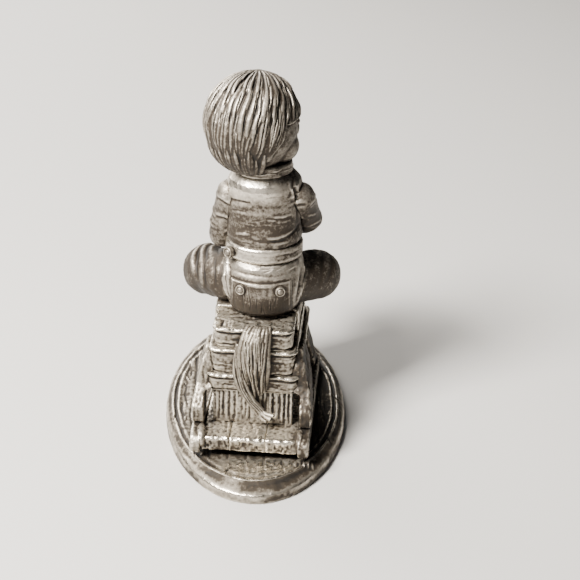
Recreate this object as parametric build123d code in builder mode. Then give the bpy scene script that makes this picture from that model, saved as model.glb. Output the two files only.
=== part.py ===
"""Cast metal miniature: a child astride a toy rocking horse, on an oval boarded base.

Millimetres. +Z is up, -Y is the way the horse faces, +X is the child's left.
The origin is the centre of the base's flat underside.
Every piece is a separate casting. Pins on one piece sit in sockets in its neighbour.
"""

import os

from build123d import *

# ---------------------------------------------------------------- driving sizes
# Base
base_width = 24.8
base_length = 42.4
rim_height = 1.2
rim_side = 0.8
rim_end = 2.3
rim_round = 0.4
deck_height = 2.0
deck_board_width = 2.4
deck_groove = 0.2

# Rockers
rocker_radius = 80.0
rocker_depth = 2.2
rocker_thickness = 1.5
rocker_low_y = -4.0
rocker_front = -9.4
rocker_back = 15.3
rocker_flat = 0.15
rocker_tip_round = 0.8

# Platform of three planks between the rockers
plank_widths = {"left": 3.6, "middle": 4.7, "right": 4.1}
platform_front = -9.2
platform_back = 14.5
platform_thickness = 1.8
platform_clearance = 1.1

# Horse, fixed a little askew and off the middle of the base
horse_turn = 6.0
horse_shift = (-0.7, -0.2)
leg_panel_height = 4.5
leg_panel_widths = {"rear": 10.5, "front": 9.0}
leg_panel_thickness = 2.0
leg_panel_leans = {"rear": 0.9, "front": 0.0}
body_width = 10.1
body_length = 18.2
body_centre_y = 0.6
body_side_step = 0.5
body_end_step = 0.2
body_corner = 1.2
board_heights = {"bottom": 2.6, "middle": 3.7, "top": 3.0}
hind_leg_lean = 1.5
fore_leg_thickness = 1.4
fore_foot_width = 1.0
horse_head_thickness = 4.0
ear_height = 1.9
mane_thickness = 1.5
mane_depth = 1.0
strap_thickness = 0.35
strap_width = 0.9
handle_radius = 0.6
handle_length = 11.0

# Saddle blanket
blanket_thickness = 0.45
blanket_drop = 2.8
blanket_front = -4.6
blanket_back = 4.6

# Child
child_x = -0.7
seat_y = 2.0
trousers_height = 7.3
trousers_width = 10.6
trousers_depth = 10.2
band_height = 2.2
band_bulge = 0.3
shirt_height = 9.3
shirt_width = 9.4
shirt_depth = 7.6
collar_height = 1.5
collar_width = 7.3
neck_x = -0.5
head_x = 0.7
head_width = 11.0
head_height = 11.2
head_turn = 60.0
hair_thickness = 0.75
hair_gap = 0.1
fringe_height = 1.6
thigh_radius = 3.35
shin_radius = 1.6
sleeve_radius = 1.9
cuff_radius = 1.35
hand_radius = 1.35
shoe_length = 4.4
shoe_width = 2.6
shoe_height = 2.2
flap_thickness = 0.4
flap_width = 7.8
flap_height = 4.4
flap_hem = 0.9
button_radius = 0.6

# Joints between castings
pin_gap = 0.05
small_pin = 0.4
pin = 0.6
large_pin = 1.2

# ---------------------------------------------------------------- places
deck_top = deck_height
platform_bottom = deck_top + platform_clearance
platform_top = platform_bottom + platform_thickness
platform_width = sum(plank_widths.values())
rocker_inner = platform_width / 2 + pin_gap
rocker_middle = rocker_inner + rocker_thickness / 2
rocker_centre_z = deck_top - rocker_flat + rocker_radius
body_bottom = platform_top + leg_panel_height
body_top = body_bottom + sum(board_heights.values())
body_back = body_centre_y + body_length / 2
body_front = body_centre_y - body_length / 2
body_side = body_width / 2
waist_z = body_top + trousers_height
shirt_z = waist_z + band_height
neck_z = shirt_z + shirt_height
head_z = neck_z + 0.3 + head_height / 2
head_y = seat_y - 0.5
shoulder_z = neck_z - 3.4
leg_pin_z = body_bottom + board_heights["bottom"] + board_heights["middle"] / 2
hind_leg_y = body_back - 2.4
fore_leg_y = body_front + 2.2
horse_place = Location((*horse_shift, 0), (0, 0, -horse_turn))


def pin_pair(plane, radius, length, root=0.5):
    """A pin along the plane's normal that starts `root` behind the plane, and its socket."""
    with BuildPart() as male:
        with BuildSketch(plane.offset(-root)):
            Circle(radius)
        extrude(amount=length + root)
    with BuildPart() as female:
        with BuildSketch(plane.offset(-pin_gap)):
            Circle(radius + pin_gap)
        extrude(amount=length + 2 * pin_gap)
    return male.part, female.part


def side_plane(side, x, y, z):
    """A plane at a place on the child's left (side 1) or right (side -1), facing the middle."""
    return Plane(origin=(side * x, y, z), x_dir=(0, 1, 0), z_dir=(-side, 0, 0))


def oval_loft(centre_x, levels):
    """A solid through ovals: each level is (height, width, depth, centre y)."""
    with BuildPart() as made:
        for height, width, depth, centre_y in levels:
            with BuildSketch(Plane.XY.offset(height)):
                with Locations((centre_x, centre_y)):
                    Ellipse(width / 2, depth / 2)
        loft()
    return made.part


def limb(points, radii):
    """A solid of tapered rounds that runs through the points, with a ball at each."""
    with BuildPart() as made:
        for point, radius in zip(points, radii):
            with Locations(point):
                Sphere(radius)
        for k in range(len(points) - 1):
            way = Vector(*points[k + 1]) - Vector(*points[k])
            start = Plane(origin=points[k], z_dir=way)
            with BuildSketch(start):
                Circle(radii[k])
            with BuildSketch(start.offset(way.length)):
                Circle(radii[k + 1])
            loft()
    return made.part


def ellipsoid(centre, radii, turn=0.0):
    """A solid ellipsoid, turned about the vertical through its centre."""
    with BuildPart() as made:
        Sphere(1.0)
        scale(by=radii)
    return Pos(*centre) * Rot(0, 0, turn) * made.part


sides = {"left": 1, "right": -1}
nodes = {}


def keep(name, part):
    """Label a finished piece and store it, still in the horse's own frame."""
    part.label = name
    nodes[name] = part


# ---------------------------------------------------------------- pins and sockets
rocker_pin_y = 2.4
rocker_pins = {}
for name, side in sides.items():
    for where in (-1, 1):
        pin_y = rocker_low_y + where * rocker_pin_y
        foot = Plane(origin=(side * rocker_middle, pin_y, deck_top), z_dir=(0, 0, -1))
        rocker_pins[name, where] = pin_pair(foot, small_pin, rim_height * 0.7)

plank_middle_y = (platform_front + platform_back) / 2
plank_pin_y = (platform_back - platform_front) / 3
plank_pin_z = platform_bottom + platform_thickness / 2
plank_edges = [platform_width / 2]
for width in plank_widths.values():
    plank_edges.append(plank_edges[-1] - width)
rocker_plank_pins = {}
for name, side in sides.items():
    for where in (-1, 1):
        pin_y = plank_middle_y + where * plank_pin_y
        inner_face = side_plane(side, platform_width / 2 + pin_gap, pin_y, plank_pin_z)
        rocker_plank_pins[name, where] = pin_pair(inner_face, small_pin, 1.2)
plank_plank_pins = {}
for k, edge in enumerate(plank_edges[1:-1]):
    for where in (-1, 1):
        pin_y = plank_middle_y + where * plank_pin_y
        joint = Plane(origin=(edge, pin_y, plank_pin_z), z_dir=(-1, 0, 0))
        plank_plank_pins[k, where] = pin_pair(joint, small_pin, 1.2)

panel_pin_x = platform_width / 2 - 2.5
panel_head_y = {
    "rear": body_back - leg_panel_thickness / 2,
    "front": body_front + leg_panel_thickness / 2,
}
panel_pins = {}
for name, y in panel_head_y.items():
    foot_y = y + leg_panel_leans[name]
    for side in sides.values():
        foot = Plane(origin=(side * panel_pin_x, foot_y, platform_top), z_dir=(0, 0, -1))
        head = Plane(origin=(side * panel_pin_x, y, body_bottom))
        panel_pins[name, side, "foot"] = pin_pair(foot, pin, platform_thickness * 0.6)
        panel_pins[name, side, "head"] = pin_pair(head, pin, board_heights["bottom"] * 0.6)

board_pin_y = 5.0
board_pins = {}
board_level = body_bottom
for lower in ("bottom", "middle"):
    board_level += board_heights[lower]
    for where in (-1, 1):
        joint = Plane(origin=(0, body_centre_y + where * board_pin_y, board_level), z_dir=(0, 0, -1))
        board_pins[lower, where] = pin_pair(joint, pin, board_heights[lower] * 0.5)

fore_leg_outer = body_side + 2 * body_side_step
fore_leg_pin_x = fore_leg_outer - fore_leg_thickness / 2
hind_pins = {}
fore_pins = {}
for name, side in sides.items():
    hind_pins[name] = pin_pair(side_plane(side, body_side + body_side_step, hind_leg_y, leg_pin_z), pin, 1.5)
    fore_top = Plane(origin=(side * fore_leg_pin_x, fore_leg_y, body_bottom))
    fore_pins[name] = pin_pair(fore_top, small_pin, board_heights["bottom"] * 0.6)

neck_pin_y = body_front + 2.6
neck_pin = pin_pair(Plane(origin=(0, neck_pin_y, body_top), z_dir=(0, 0, -1)), large_pin, 2.4)
tail_x = -0.25
tail_pin_z = body_top - 1.2
tail_pin = pin_pair(Plane(origin=(tail_x, body_back, tail_pin_z), z_dir=(0, -1, 0)), pin, 2.0)
seat_foot = Plane(origin=(child_x, seat_y, body_top + blanket_thickness), z_dir=(0, 0, -1))
seat_pin = pin_pair(seat_foot, large_pin, blanket_thickness + 2.0, root=1.0)
shirt_foot = Plane(origin=(child_x, seat_y, shirt_z), z_dir=(0, 0, -1))
waist_pin = pin_pair(shirt_foot, 2.2, band_height + 2.0, root=1.0)
neck_foot = Plane(origin=(neck_x, head_y, neck_z), z_dir=(0, 0, -1))
head_pin = pin_pair(neck_foot, 1.6, 2.2, root=1.5)
hip_z = body_top + 3.0
shoulder_pins = {}
hip_pins = {}
for name, side in sides.items():
    armhole = side_plane(side, shirt_width / 2 + side * child_x, seat_y - 0.2, shoulder_z)
    shoulder_pins[name] = pin_pair(armhole, 0.7, 1.8)
    hip_side = side_plane(side, trousers_width / 2 + 0.3 + side * child_x, seat_y - 0.8, hip_z)
    hip_pins[name] = pin_pair(hip_side, 1.0, 1.6, root=1.0)

# ---------------------------------------------------------------- base
with BuildPart() as base:
    with BuildSketch():
        Ellipse(base_width / 2, base_length / 2)
    extrude(amount=rim_height)
    fillet(base.edges().group_by(Axis.Z)[-1], rim_round)
    with BuildSketch(Plane.XY.offset(rim_height)):
        Ellipse(base_width / 2 - rim_side, base_length / 2 - rim_end)
    extrude(amount=deck_top - rim_height)
    deck_joints = int((base_width - 2 * rim_side) / deck_board_width)
    with BuildSketch(Plane.XY.offset(deck_top)):
        with GridLocations(deck_board_width, 0, deck_joints, 1):
            Rectangle(deck_groove, base_length)
    extrude(amount=-deck_groove, mode=Mode.SUBTRACT)
    for _, socket in rocker_pins.values():
        add(horse_place * socket, mode=Mode.SUBTRACT)
keep("base", base.part)

# ---------------------------------------------------------------- rockers
for name, side in sides.items():
    with BuildPart() as rocker:
        start = rocker_inner if side > 0 else -rocker_inner - rocker_thickness
        with BuildSketch(Plane.YZ.offset(start)):
            with Locations((rocker_low_y, rocker_centre_z)):
                Circle(rocker_radius)
                Circle(rocker_radius - rocker_depth, mode=Mode.SUBTRACT)
            with Locations((rocker_front, deck_top)):
                length = rocker_back - rocker_front
                Rectangle(length, rocker_radius, align=(Align.MIN, Align.MIN), mode=Mode.INTERSECT)
        extrude(amount=rocker_thickness)
        tips = rocker.edges().filter_by(Axis.X)
        fillet(tips.group_by(Axis.Y)[0] + tips.group_by(Axis.Y)[-1], rocker_tip_round)
        for where in (-1, 1):
            add(rocker_pins[name, where][0])
            add(rocker_plank_pins[name, where][0])
    keep(f"rocker_{name}", rocker.part)

# ---------------------------------------------------------------- platform planks
for k, (name, width) in enumerate(plank_widths.items()):
    with BuildPart() as plank:
        with BuildSketch(Plane.XY.offset(platform_bottom)):
            with Locations((plank_edges[k], platform_front)):
                Rectangle(width, platform_back - platform_front, align=(Align.MAX, Align.MIN))
        extrude(amount=platform_thickness)
        chamfer(plank.edges().filter_by(Axis.Y).group_by(Axis.Z)[-1], 0.15)
        for where in (-1, 1):
            if name != "right":
                add(plank_plank_pins[k, where][0])
            if name != "left":
                add(plank_plank_pins[k - 1, where][1], mode=Mode.SUBTRACT)
            if name in sides:
                add(rocker_plank_pins[name, where][1], mode=Mode.SUBTRACT)
        if name in sides:
            for end in leg_panel_leans:
                add(panel_pins[end, sides[name], "foot"][1], mode=Mode.SUBTRACT)
    keep(f"platform_plank_{name}", plank.part)

# ---------------------------------------------------------------- leg panels
for name, foot_lean in leg_panel_leans.items():
    with BuildPart() as panel:
        for height, lean in ((platform_top, foot_lean), (body_bottom, 0)):
            with BuildSketch(Plane.XY.offset(height)):
                with Locations((0, panel_head_y[name] + lean)):
                    Rectangle(leg_panel_widths[name], leg_panel_thickness)
        loft()
        for side in sides.values():
            add(panel_pins[name, side, "foot"][0])
            add(panel_pins[name, side, "head"][0])
    keep(f"leg_panel_{name}", panel.part)

# ---------------------------------------------------------------- body boards
level = body_bottom
for k, (name, height) in enumerate(board_heights.items()):
    steps = len(board_heights) - 1 - k
    with BuildPart() as board:
        with BuildSketch(Plane.XY.offset(level)):
            with Locations((0, body_centre_y)):
                RectangleRounded(
                    body_width + 2 * steps * body_side_step,
                    body_length + 2 * steps * body_end_step,
                    body_corner,
                )
        extrude(amount=height)
        fillet(board.edges().group_by(Axis.Z)[-1], 0.3)
        for where in (-1, 1):
            if name != "bottom":
                lower = "bottom" if name == "middle" else "middle"
                add(board_pins[lower, where][0])
            if name != "top":
                add(board_pins[name, where][1], mode=Mode.SUBTRACT)
        if name == "bottom":
            for end in leg_panel_leans:
                for side in sides.values():
                    add(panel_pins[end, side, "head"][1], mode=Mode.SUBTRACT)
            for _, socket in fore_pins.values():
                add(socket, mode=Mode.SUBTRACT)
        if name == "middle":
            for _, socket in hind_pins.values():
                add(socket, mode=Mode.SUBTRACT)
        if name == "top":
            for _, socket in (neck_pin, tail_pin, seat_pin):
                add(socket, mode=Mode.SUBTRACT)
    keep(f"body_board_{name}", board.part)
    level += height
body_boards = [nodes[f"body_board_{name}"] for name in board_heights]

# ---------------------------------------------------------------- horse's legs
leg_foot_z = platform_top - 0.9
leg_outer = rocker_inner + rocker_thickness
hind_knee_z = body_bottom - 0.9
hind_top_z = body_top - board_heights["top"] - 0.1
hind_inner = body_side - 0.5
fore_top_z = body_bottom
fore_foot_outer = rocker_inner + fore_foot_width
# Side outlines run along the horse from the leg's middle, and up from its foot.
leg_outlines = {
    "hind": [(3.2, 0), (6.8, 0), (6.9, 2.4), (4.2, 4.6), (2.5, 6.5), (2.3, 9.0)]
    + [(1.0, 11.4), (-2.2, 11.0), (-3.0, 8.0), (-1.2, 5.4), (1.2, 3.2)],
    "fore": [(-2.0, 0), (1.2, 0), (1.1, 2.0), (2.0, 6.0), (-1.8, 6.0), (-1.4, 2.2)],
}
# End sections run out from the middle of the horse, and up.
leg_sections = {
    "hind": [(rocker_inner, leg_foot_z), (leg_outer, leg_foot_z), (leg_outer, hind_knee_z)]
    + [(leg_outer - hind_leg_lean, hind_top_z), (hind_inner, hind_top_z)]
    + [(hind_inner, body_bottom + 0.9), (rocker_inner, body_bottom + 0.1)],
    "fore": [(rocker_inner, leg_foot_z), (fore_foot_outer, leg_foot_z)]
    + [(fore_foot_outer, platform_top - 0.2)]
    + [(fore_leg_outer, fore_top_z), (fore_leg_outer - fore_leg_thickness, fore_top_z)]
    + [(rocker_inner, platform_top + 0.2)],
}
for end, middle_y, pins in (("hind", hind_leg_y, hind_pins), ("fore", fore_leg_y, fore_pins)):
    with BuildPart() as leg:
        with BuildSketch(Plane(origin=(0, middle_y, leg_foot_z), x_dir=(0, 1, 0), z_dir=(1, 0, 0))):
            with BuildLine():
                Polyline(*leg_outlines[end], close=True)
            make_face()
            fillet(vertices(), 0.5)
        extrude(amount=leg_outer + 1)
        with BuildSketch(Plane.XZ.offset(-middle_y)):
            with BuildLine():
                Polyline(*leg_sections[end], close=True)
            make_face()
        extrude(amount=5, both=True, mode=Mode.INTERSECT)
        for board in body_boards:
            add(board, mode=Mode.SUBTRACT)
        add(nodes["rocker_left"], mode=Mode.SUBTRACT)
        add(pins["left"][1], mode=Mode.SUBTRACT)
        add(pins["left"][0])
    keep(f"leg_{end}_left", leg.part)
    keep(f"leg_{end}_right", mirror(leg.part, about=Plane.YZ))

# ---------------------------------------------------------------- saddle blanket
with BuildPart() as blanket:
    outer = body_side + blanket_thickness
    with BuildSketch(Plane.XY.offset(body_top + blanket_thickness)):
        with Locations((0, blanket_front)):
            Rectangle(2 * outer, blanket_back - blanket_front, align=(Align.CENTER, Align.MIN))
    extrude(amount=-blanket_thickness - blanket_drop)
    fillet(blanket.edges().filter_by(Axis.Y).group_by(Axis.Z)[-1], 0.7)
    for board in body_boards:
        add(board, mode=Mode.SUBTRACT)
    for leg_name in ("leg_hind_left", "leg_hind_right", "leg_fore_left", "leg_fore_right"):
        add(nodes[leg_name], mode=Mode.SUBTRACT)
    add(seat_pin[1], mode=Mode.SUBTRACT)
keep("saddle_blanket", blanket.part)

# ---------------------------------------------------------------- tail
tail_lock = [(0.15, 1.1, 0.7), (-2.4, 1.9, 1.0), (-5.6, 1.6, 0.9), (-8.7, 0.7, 0.5)]
sweeping_lock = [(2.1, 0.5, -2.2), (2.0, 0.9, -6.0), (1.1, 1.2, -8.9), (-0.4, 1.4, -11.3), (-2.4, 1.3, -12.8)]
sweeping_radii = [0.5, 0.8, 0.8, 0.65, 0.4]
with BuildPart() as tail:
    for drop, half_width, half_depth in tail_lock:
        with BuildSketch(Plane.XY.offset(body_top + drop)):
            with Locations((tail_x, body_back + half_depth * 0.8)):
                Ellipse(half_width, half_depth)
    loft()
    for board in body_boards:
        add(board, mode=Mode.SUBTRACT)
    add(tail_pin[1], mode=Mode.SUBTRACT)
    add(tail_pin[0])
keep("tail", tail.part)

sweep_points = [(x, body_back + y, body_top + z) for x, y, z in sweeping_lock]
sweep_solid = limb(sweep_points, sweeping_radii)
with BuildPart() as tail_sweep:
    add(sweep_solid)
    for cutter in body_boards + [nodes["tail"], nodes["leg_panel_rear"]]:
        add(cutter, mode=Mode.SUBTRACT)
keep("tail_lock", tail_sweep.part)

# ---------------------------------------------------------------- horse's head and neck
handle_y = body_front + 0.9
handle_z = body_top + 7.1
handle_line = Plane(origin=(-handle_length / 2, handle_y, handle_z), x_dir=(0, 1, 0), z_dir=(1, 0, 0))
with BuildPart() as handle:
    with BuildSketch(handle_line):
        Circle(handle_radius)
    extrude(amount=handle_length)
    fillet(handle.edges(), 0.2)
keep("handle_bar", handle.part)
with BuildPart() as handle_bore:
    with BuildSketch(handle_line):
        Circle(handle_radius + pin_gap)
    extrude(amount=handle_length)

crest = [(4.0, 0), (3.2, 3.0), (2.5, 7.0), (1.2, 10.3)]
face_and_chest = [(-0.9, 10.8), (-3.3, 8.6), (-6.8, 5.2), (-7.2, 3.7), (-5.7, 2.9), (-2.5, 4.1), (-1.1, 3.5)]
chest = [(-1.7, -1.5), (-1.7, -4.9), (-0.6, -6.3), (1.0, -6.3), (1.0, 0)]
neck_outline = [(body_front + y, body_top + z) for y, z in crest + face_and_chest + chest]
with BuildPart() as horse_head:
    with BuildSketch(Plane.YZ.offset(-horse_head_thickness / 2)):
        with BuildLine():
            Polyline(*neck_outline, close=True)
        make_face()
        fillet(vertices(), 0.45)
    extrude(amount=horse_head_thickness)
    fillet(horse_head.faces().filter_by(Axis.X).edges(), 0.4)
    for board in body_boards:
        add(board, mode=Mode.SUBTRACT)
    add(neck_pin[1], mode=Mode.SUBTRACT)
    add(neck_pin[0])
    add(handle_bore.part, mode=Mode.SUBTRACT)
keep("horse_head", horse_head.part)

mane_outer = [(body_front + y + mane_depth, body_top + z) for y, z in crest[1:]]
mane_inner = [(body_front + y - 0.8, body_top + z) for y, z in crest[1:]]
forelock = [(body_front - 1.2, body_top + 11.9), (body_front - 1.6, body_top + 9.9)]
with BuildPart() as mane:
    with BuildSketch(Plane.YZ.offset(-mane_thickness / 2)):
        with BuildLine():
            Polyline(*mane_outer, *forelock, *reversed(mane_inner), close=True)
        make_face()
        fillet(vertices(), 0.25)
    extrude(amount=mane_thickness)
    add(nodes["horse_head"], mode=Mode.SUBTRACT)
    add(handle_bore.part, mode=Mode.SUBTRACT)
keep("mane", mane.part)

ear_y = body_front + 0.1
with BuildPart() as ears:
    for side in sides.values():
        with BuildSketch(Plane(origin=(side * 1.35, ear_y, body_top + 9.9))):
            Ellipse(0.55, 0.7)
        with BuildSketch(Plane(origin=(side * 1.6, ear_y + 0.2, body_top + 10.6 + ear_height))):
            Ellipse(0.15, 0.2)
        loft()
    add(nodes["horse_head"], mode=Mode.SUBTRACT)
    add(nodes["mane"], mode=Mode.SUBTRACT)
keep("ears", ears.part)

with BuildPart() as bridle:
    wide = horse_head_thickness + 2 * strap_thickness
    muzzle = Plane(origin=(0, body_front - 4.6, body_top + 5.3), x_dir=(1, 0, 0), z_dir=(0, -0.72, -0.69))
    with BuildSketch(muzzle):
        Rectangle(wide, 4.5)
    extrude(amount=strap_width)
    cheek = Plane(origin=(0, body_front - 0.5, body_top + 7.1), x_dir=(1, 0, 0), z_dir=(0, -0.72, -0.69))
    with BuildSketch(cheek):
        Rectangle(wide, 7.9)
    extrude(amount=strap_width)
    for cutter in ("horse_head", "mane", "ears"):
        add(nodes[cutter], mode=Mode.SUBTRACT)
    add(handle_bore.part, mode=Mode.SUBTRACT)
keep("bridle", bridle.part)

# ---------------------------------------------------------------- child's trousers
hip_levels = [
    (body_top, trousers_width - 1.8, trousers_depth - 1.6, seat_y + 0.3),
    (body_top + trousers_height * 0.35, trousers_width, trousers_depth, seat_y + 0.3),
    (waist_z, shirt_width + 0.1, shirt_depth + 0.2, seat_y),
]
hips_solid = oval_loft(child_x, hip_levels)
flap_levels = [(z, w + 2 * flap_thickness, d + 2 * flap_thickness, y) for z, w, d, y in hip_levels]
flap_solid = oval_loft(child_x, flap_levels)
with BuildPart() as hips:
    add(hips_solid)
    add(nodes["saddle_blanket"], mode=Mode.SUBTRACT)
    add(seat_pin[1], mode=Mode.SUBTRACT)
    add(seat_pin[0])
    add(waist_pin[1], mode=Mode.SUBTRACT)
    for _, socket in hip_pins.values():
        add(socket, mode=Mode.SUBTRACT)
keep("trousers_seat", hips.part)

with BuildPart() as flap:
    add(flap_solid)
    with Locations((child_x, seat_y + trousers_depth / 2, body_top + flap_hem + flap_height / 2)):
        Box(flap_width, trousers_depth * 0.7, flap_height, mode=Mode.INTERSECT)
    add(hips_solid, mode=Mode.SUBTRACT)
keep("drop_seat_flap", flap.part)

button_space = 5.0
button_z = body_top + flap_hem + flap_height - button_radius - 0.2
with BuildPart() as buttons:
    for side in sides.values():
        with Locations((child_x + side * button_space / 2, seat_y + trousers_depth / 2 - 0.15, button_z)):
            Sphere(button_radius)
    add(nodes["drop_seat_flap"], mode=Mode.SUBTRACT)
    add(nodes["trousers_seat"], mode=Mode.SUBTRACT)
keep("flap_buttons", buttons.part)

# ---------------------------------------------------------------- waistband, shirt and collar
with BuildPart() as waistband:
    with BuildSketch(Plane.XY.offset(waist_z)):
        with Locations((child_x, seat_y)):
            Ellipse(shirt_width / 2 + band_bulge, shirt_depth / 2 + band_bulge)
    extrude(amount=band_height)
    fillet(waistband.edges(), 0.5)
    add(waist_pin[1], mode=Mode.SUBTRACT)
keep("waistband", waistband.part)

with BuildPart() as brace_button:
    with Locations((child_x + 4.4, seat_y + 1.9, waist_z + band_height * 0.4)):
        Sphere(button_radius)
    add(nodes["waistband"], mode=Mode.SUBTRACT)
    add(hips_solid, mode=Mode.SUBTRACT)
keep("brace_button", brace_button.part)

shirt_solid = oval_loft(
    child_x,
    [
        (shirt_z, shirt_width, shirt_depth, seat_y),
        (shirt_z + shirt_height * 0.35, shirt_width, shirt_depth, seat_y),
        (shirt_z + shirt_height * 0.75, shirt_width - 0.4, shirt_depth - 0.6, seat_y - 0.2),
        (neck_z, collar_width, collar_width - 1.2, head_y),
    ],
)
with BuildPart() as shirt:
    add(shirt_solid)
    add(waist_pin[0])
    add(head_pin[1], mode=Mode.SUBTRACT)
    for _, socket in shoulder_pins.values():
        add(socket, mode=Mode.SUBTRACT)
keep("shirt", shirt.part)

# ---------------------------------------------------------------- head and hair
head_centre = (head_x, head_y, head_z)
head_radii = (head_width / 2, head_width / 2 + 0.1, head_height / 2)
with BuildPart() as head:
    add(ellipsoid(head_centre, head_radii, -head_turn))
    with BuildSketch(Plane.XY.offset(neck_z)):
        with Locations((neck_x, head_y)):
            Circle(2.4)
    extrude(amount=head_height / 2)
    add(head_pin[0])
keep("head", head.part)

with BuildPart() as collar:
    with BuildSketch(Plane.XY.offset(neck_z)):
        with Locations((neck_x, head_y)):
            Ellipse(collar_width / 2, collar_width / 2 - 0.4)
    extrude(amount=collar_height)
    fillet(collar.edges().group_by(Axis.Z)[-1], 0.4)
    add(nodes["head"], mode=Mode.SUBTRACT)
    add(head_pin[1], mode=Mode.SUBTRACT)
keep("collar", collar.part)

# The hair stops at a line that runs back from the fringe to behind the jaw.
hair_radii = tuple(r + hair_thickness for r in head_radii)
face_way = Vector(0, -1, 0).rotate(Axis.Z, -head_turn)
face_outline = [(head_width, fringe_height), (2.2, fringe_height), (1.6, 0), (-0.9, -3.0), (-2.4, -7.5)]
face_outline += [(head_width, -7.5)]
with BuildPart() as hair:
    add(ellipsoid(head_centre, hair_radii, -head_turn))
    with BuildSketch(Plane(origin=head_centre, x_dir=face_way, z_dir=face_way.cross(Vector(0, 0, 1)))):
        with BuildLine():
            Polyline(*face_outline, close=True)
        make_face()
    extrude(amount=head_width, both=True, mode=Mode.SUBTRACT)
    for cutter in ("head", "collar"):
        add(nodes[cutter], mode=Mode.SUBTRACT)
    with Locations((head_x, head_y, neck_z + hair_gap)):
        Box(30, 30, head_height, align=(Align.CENTER, Align.CENTER, Align.MAX), mode=Mode.SUBTRACT)
keep("hair", hair.part)

# ---------------------------------------------------------------- arms and hands
# Shoulders and elbows as steps from the middle of the child's shoulders: out, along and up.
arms = {
    "left": ((4.2, -0.2, 0.0), (5.6, -1.8, -6.6)),
    "right": ((4.5, -0.2, -0.1), (5.2, -3.2, -4.6)),
}
hand_x = 3.9
for name, side in sides.items():
    shoulder, elbow = [
        (child_x + side * out, seat_y + along, shoulder_z + up) for out, along, up in arms[name]
    ]
    wrist = (side * (hand_x + 0.4), handle_y + 1.6, handle_z + 0.4)
    sleeve_solid = limb([shoulder, elbow, wrist], [sleeve_radius, sleeve_radius, cuff_radius])
    with BuildPart() as hand:
        with Locations((side * hand_x, handle_y, handle_z)):
            Sphere(hand_radius)
        add(handle_bore.part, mode=Mode.SUBTRACT)
        add(sleeve_solid, mode=Mode.SUBTRACT)
    keep(f"hand_{name}", hand.part)
    with BuildPart() as sleeve:
        add(sleeve_solid)
        add(shirt_solid, mode=Mode.SUBTRACT)
        add(shoulder_pins[name][1], mode=Mode.SUBTRACT)
        add(shoulder_pins[name][0])
        for cutter in ("waistband", "hair", "collar", "trousers_seat"):
            add(nodes[cutter], mode=Mode.SUBTRACT)
        add(handle_bore.part, mode=Mode.SUBTRACT)
    keep(f"sleeve_{name}", sleeve.part)

# ---------------------------------------------------------------- legs and shoes
# Joints of the leg as steps from the middle of the seat: out, along and up.
hip_step = (4.0, -0.8, 3.0)
knee_step = (7.2, -3.8, 2.2)
ankle_step = (7.5, -8.0, -1.9)
shoe_step = (7.6, -9.0, -2.8)
for name, side in sides.items():
    hip, knee, ankle, shoe_centre = [
        (side * out, seat_y + along, body_top + up)
        for out, along, up in (hip_step, knee_step, ankle_step, shoe_step)
    ]
    thigh_solid = limb([hip, knee], [thigh_radius, thigh_radius])
    shin_solid = limb([knee, ankle], [thigh_radius * 0.75, shin_radius])
    shoe_solid = ellipsoid(shoe_centre, (shoe_width / 2, shoe_length / 2, shoe_height / 2))
    cutters = body_boards + [nodes["saddle_blanket"], nodes[f"leg_fore_{name}"], nodes[f"leg_hind_{name}"]]
    with BuildPart() as trouser_leg:
        add(thigh_solid)
        add(shin_solid)
        add(hips_solid, mode=Mode.SUBTRACT)
        add(hip_pins[name][1], mode=Mode.SUBTRACT)
        add(hip_pins[name][0])
        for cutter in ("drop_seat_flap", "flap_buttons", "waistband", "brace_button", f"sleeve_{name}"):
            add(nodes[cutter], mode=Mode.SUBTRACT)
        for cutter in cutters:
            add(cutter, mode=Mode.SUBTRACT)
    keep(f"trouser_leg_{name}", trouser_leg.part)
    with BuildPart() as shoe:
        add(shoe_solid)
        add(nodes[f"trouser_leg_{name}"], mode=Mode.SUBTRACT)
        for cutter in cutters:
            add(cutter, mode=Mode.SUBTRACT)
    keep(f"shoe_{name}", shoe.part)

# ---------------------------------------------------------------- export
os.makedirs("parts", exist_ok=True)
for name, part in nodes.items():
    placed = part if name == "base" else horse_place * part
    placed.label = name
    export_step(placed, f"parts/{name}.step")
print(len(nodes), "pieces")
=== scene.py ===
"""Looks of a small cast pewter figure: a child astride a toy rocking horse on an oval base.

The castings are modelled in millimetres and brought to metres as each one is finished.
"""

import math

import bmesh
import bpy
import numpy as np
from mathutils import Matrix, Vector
from mathutils.bvhtree import BVHTree


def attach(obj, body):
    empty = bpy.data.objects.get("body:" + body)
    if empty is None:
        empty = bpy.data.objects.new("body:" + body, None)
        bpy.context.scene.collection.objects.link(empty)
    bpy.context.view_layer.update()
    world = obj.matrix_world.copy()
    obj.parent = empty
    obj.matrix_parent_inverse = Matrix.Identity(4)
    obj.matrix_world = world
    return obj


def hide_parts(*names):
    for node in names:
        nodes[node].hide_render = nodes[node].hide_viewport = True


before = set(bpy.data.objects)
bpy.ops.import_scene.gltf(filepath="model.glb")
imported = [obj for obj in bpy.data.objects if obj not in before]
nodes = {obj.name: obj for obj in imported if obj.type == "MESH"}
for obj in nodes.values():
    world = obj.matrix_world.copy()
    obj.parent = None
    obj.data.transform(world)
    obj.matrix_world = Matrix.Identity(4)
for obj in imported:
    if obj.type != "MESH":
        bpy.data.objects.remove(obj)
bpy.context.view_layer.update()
rng = np.random.default_rng(7)

MM = 0.001
HORSE_TURN = math.radians(6.0)
HORSE_SHIFT = Vector((-0.7, -0.2, 0.0))
UP = Vector((0, 0, 1))

CAMERA_EYE = (0, 156.74, 108.98)
CAMERA_AIM = (0, 1.1, 19.8)
CAMERA_SENSOR = 36.0
CAMERA_LENS = 84.3
CAMERA_SHIFT_X = 0.06
CAMERA_CLIP = (0.01, 10.0)
LAMP_AIM = (0, 2, 24)
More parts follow.
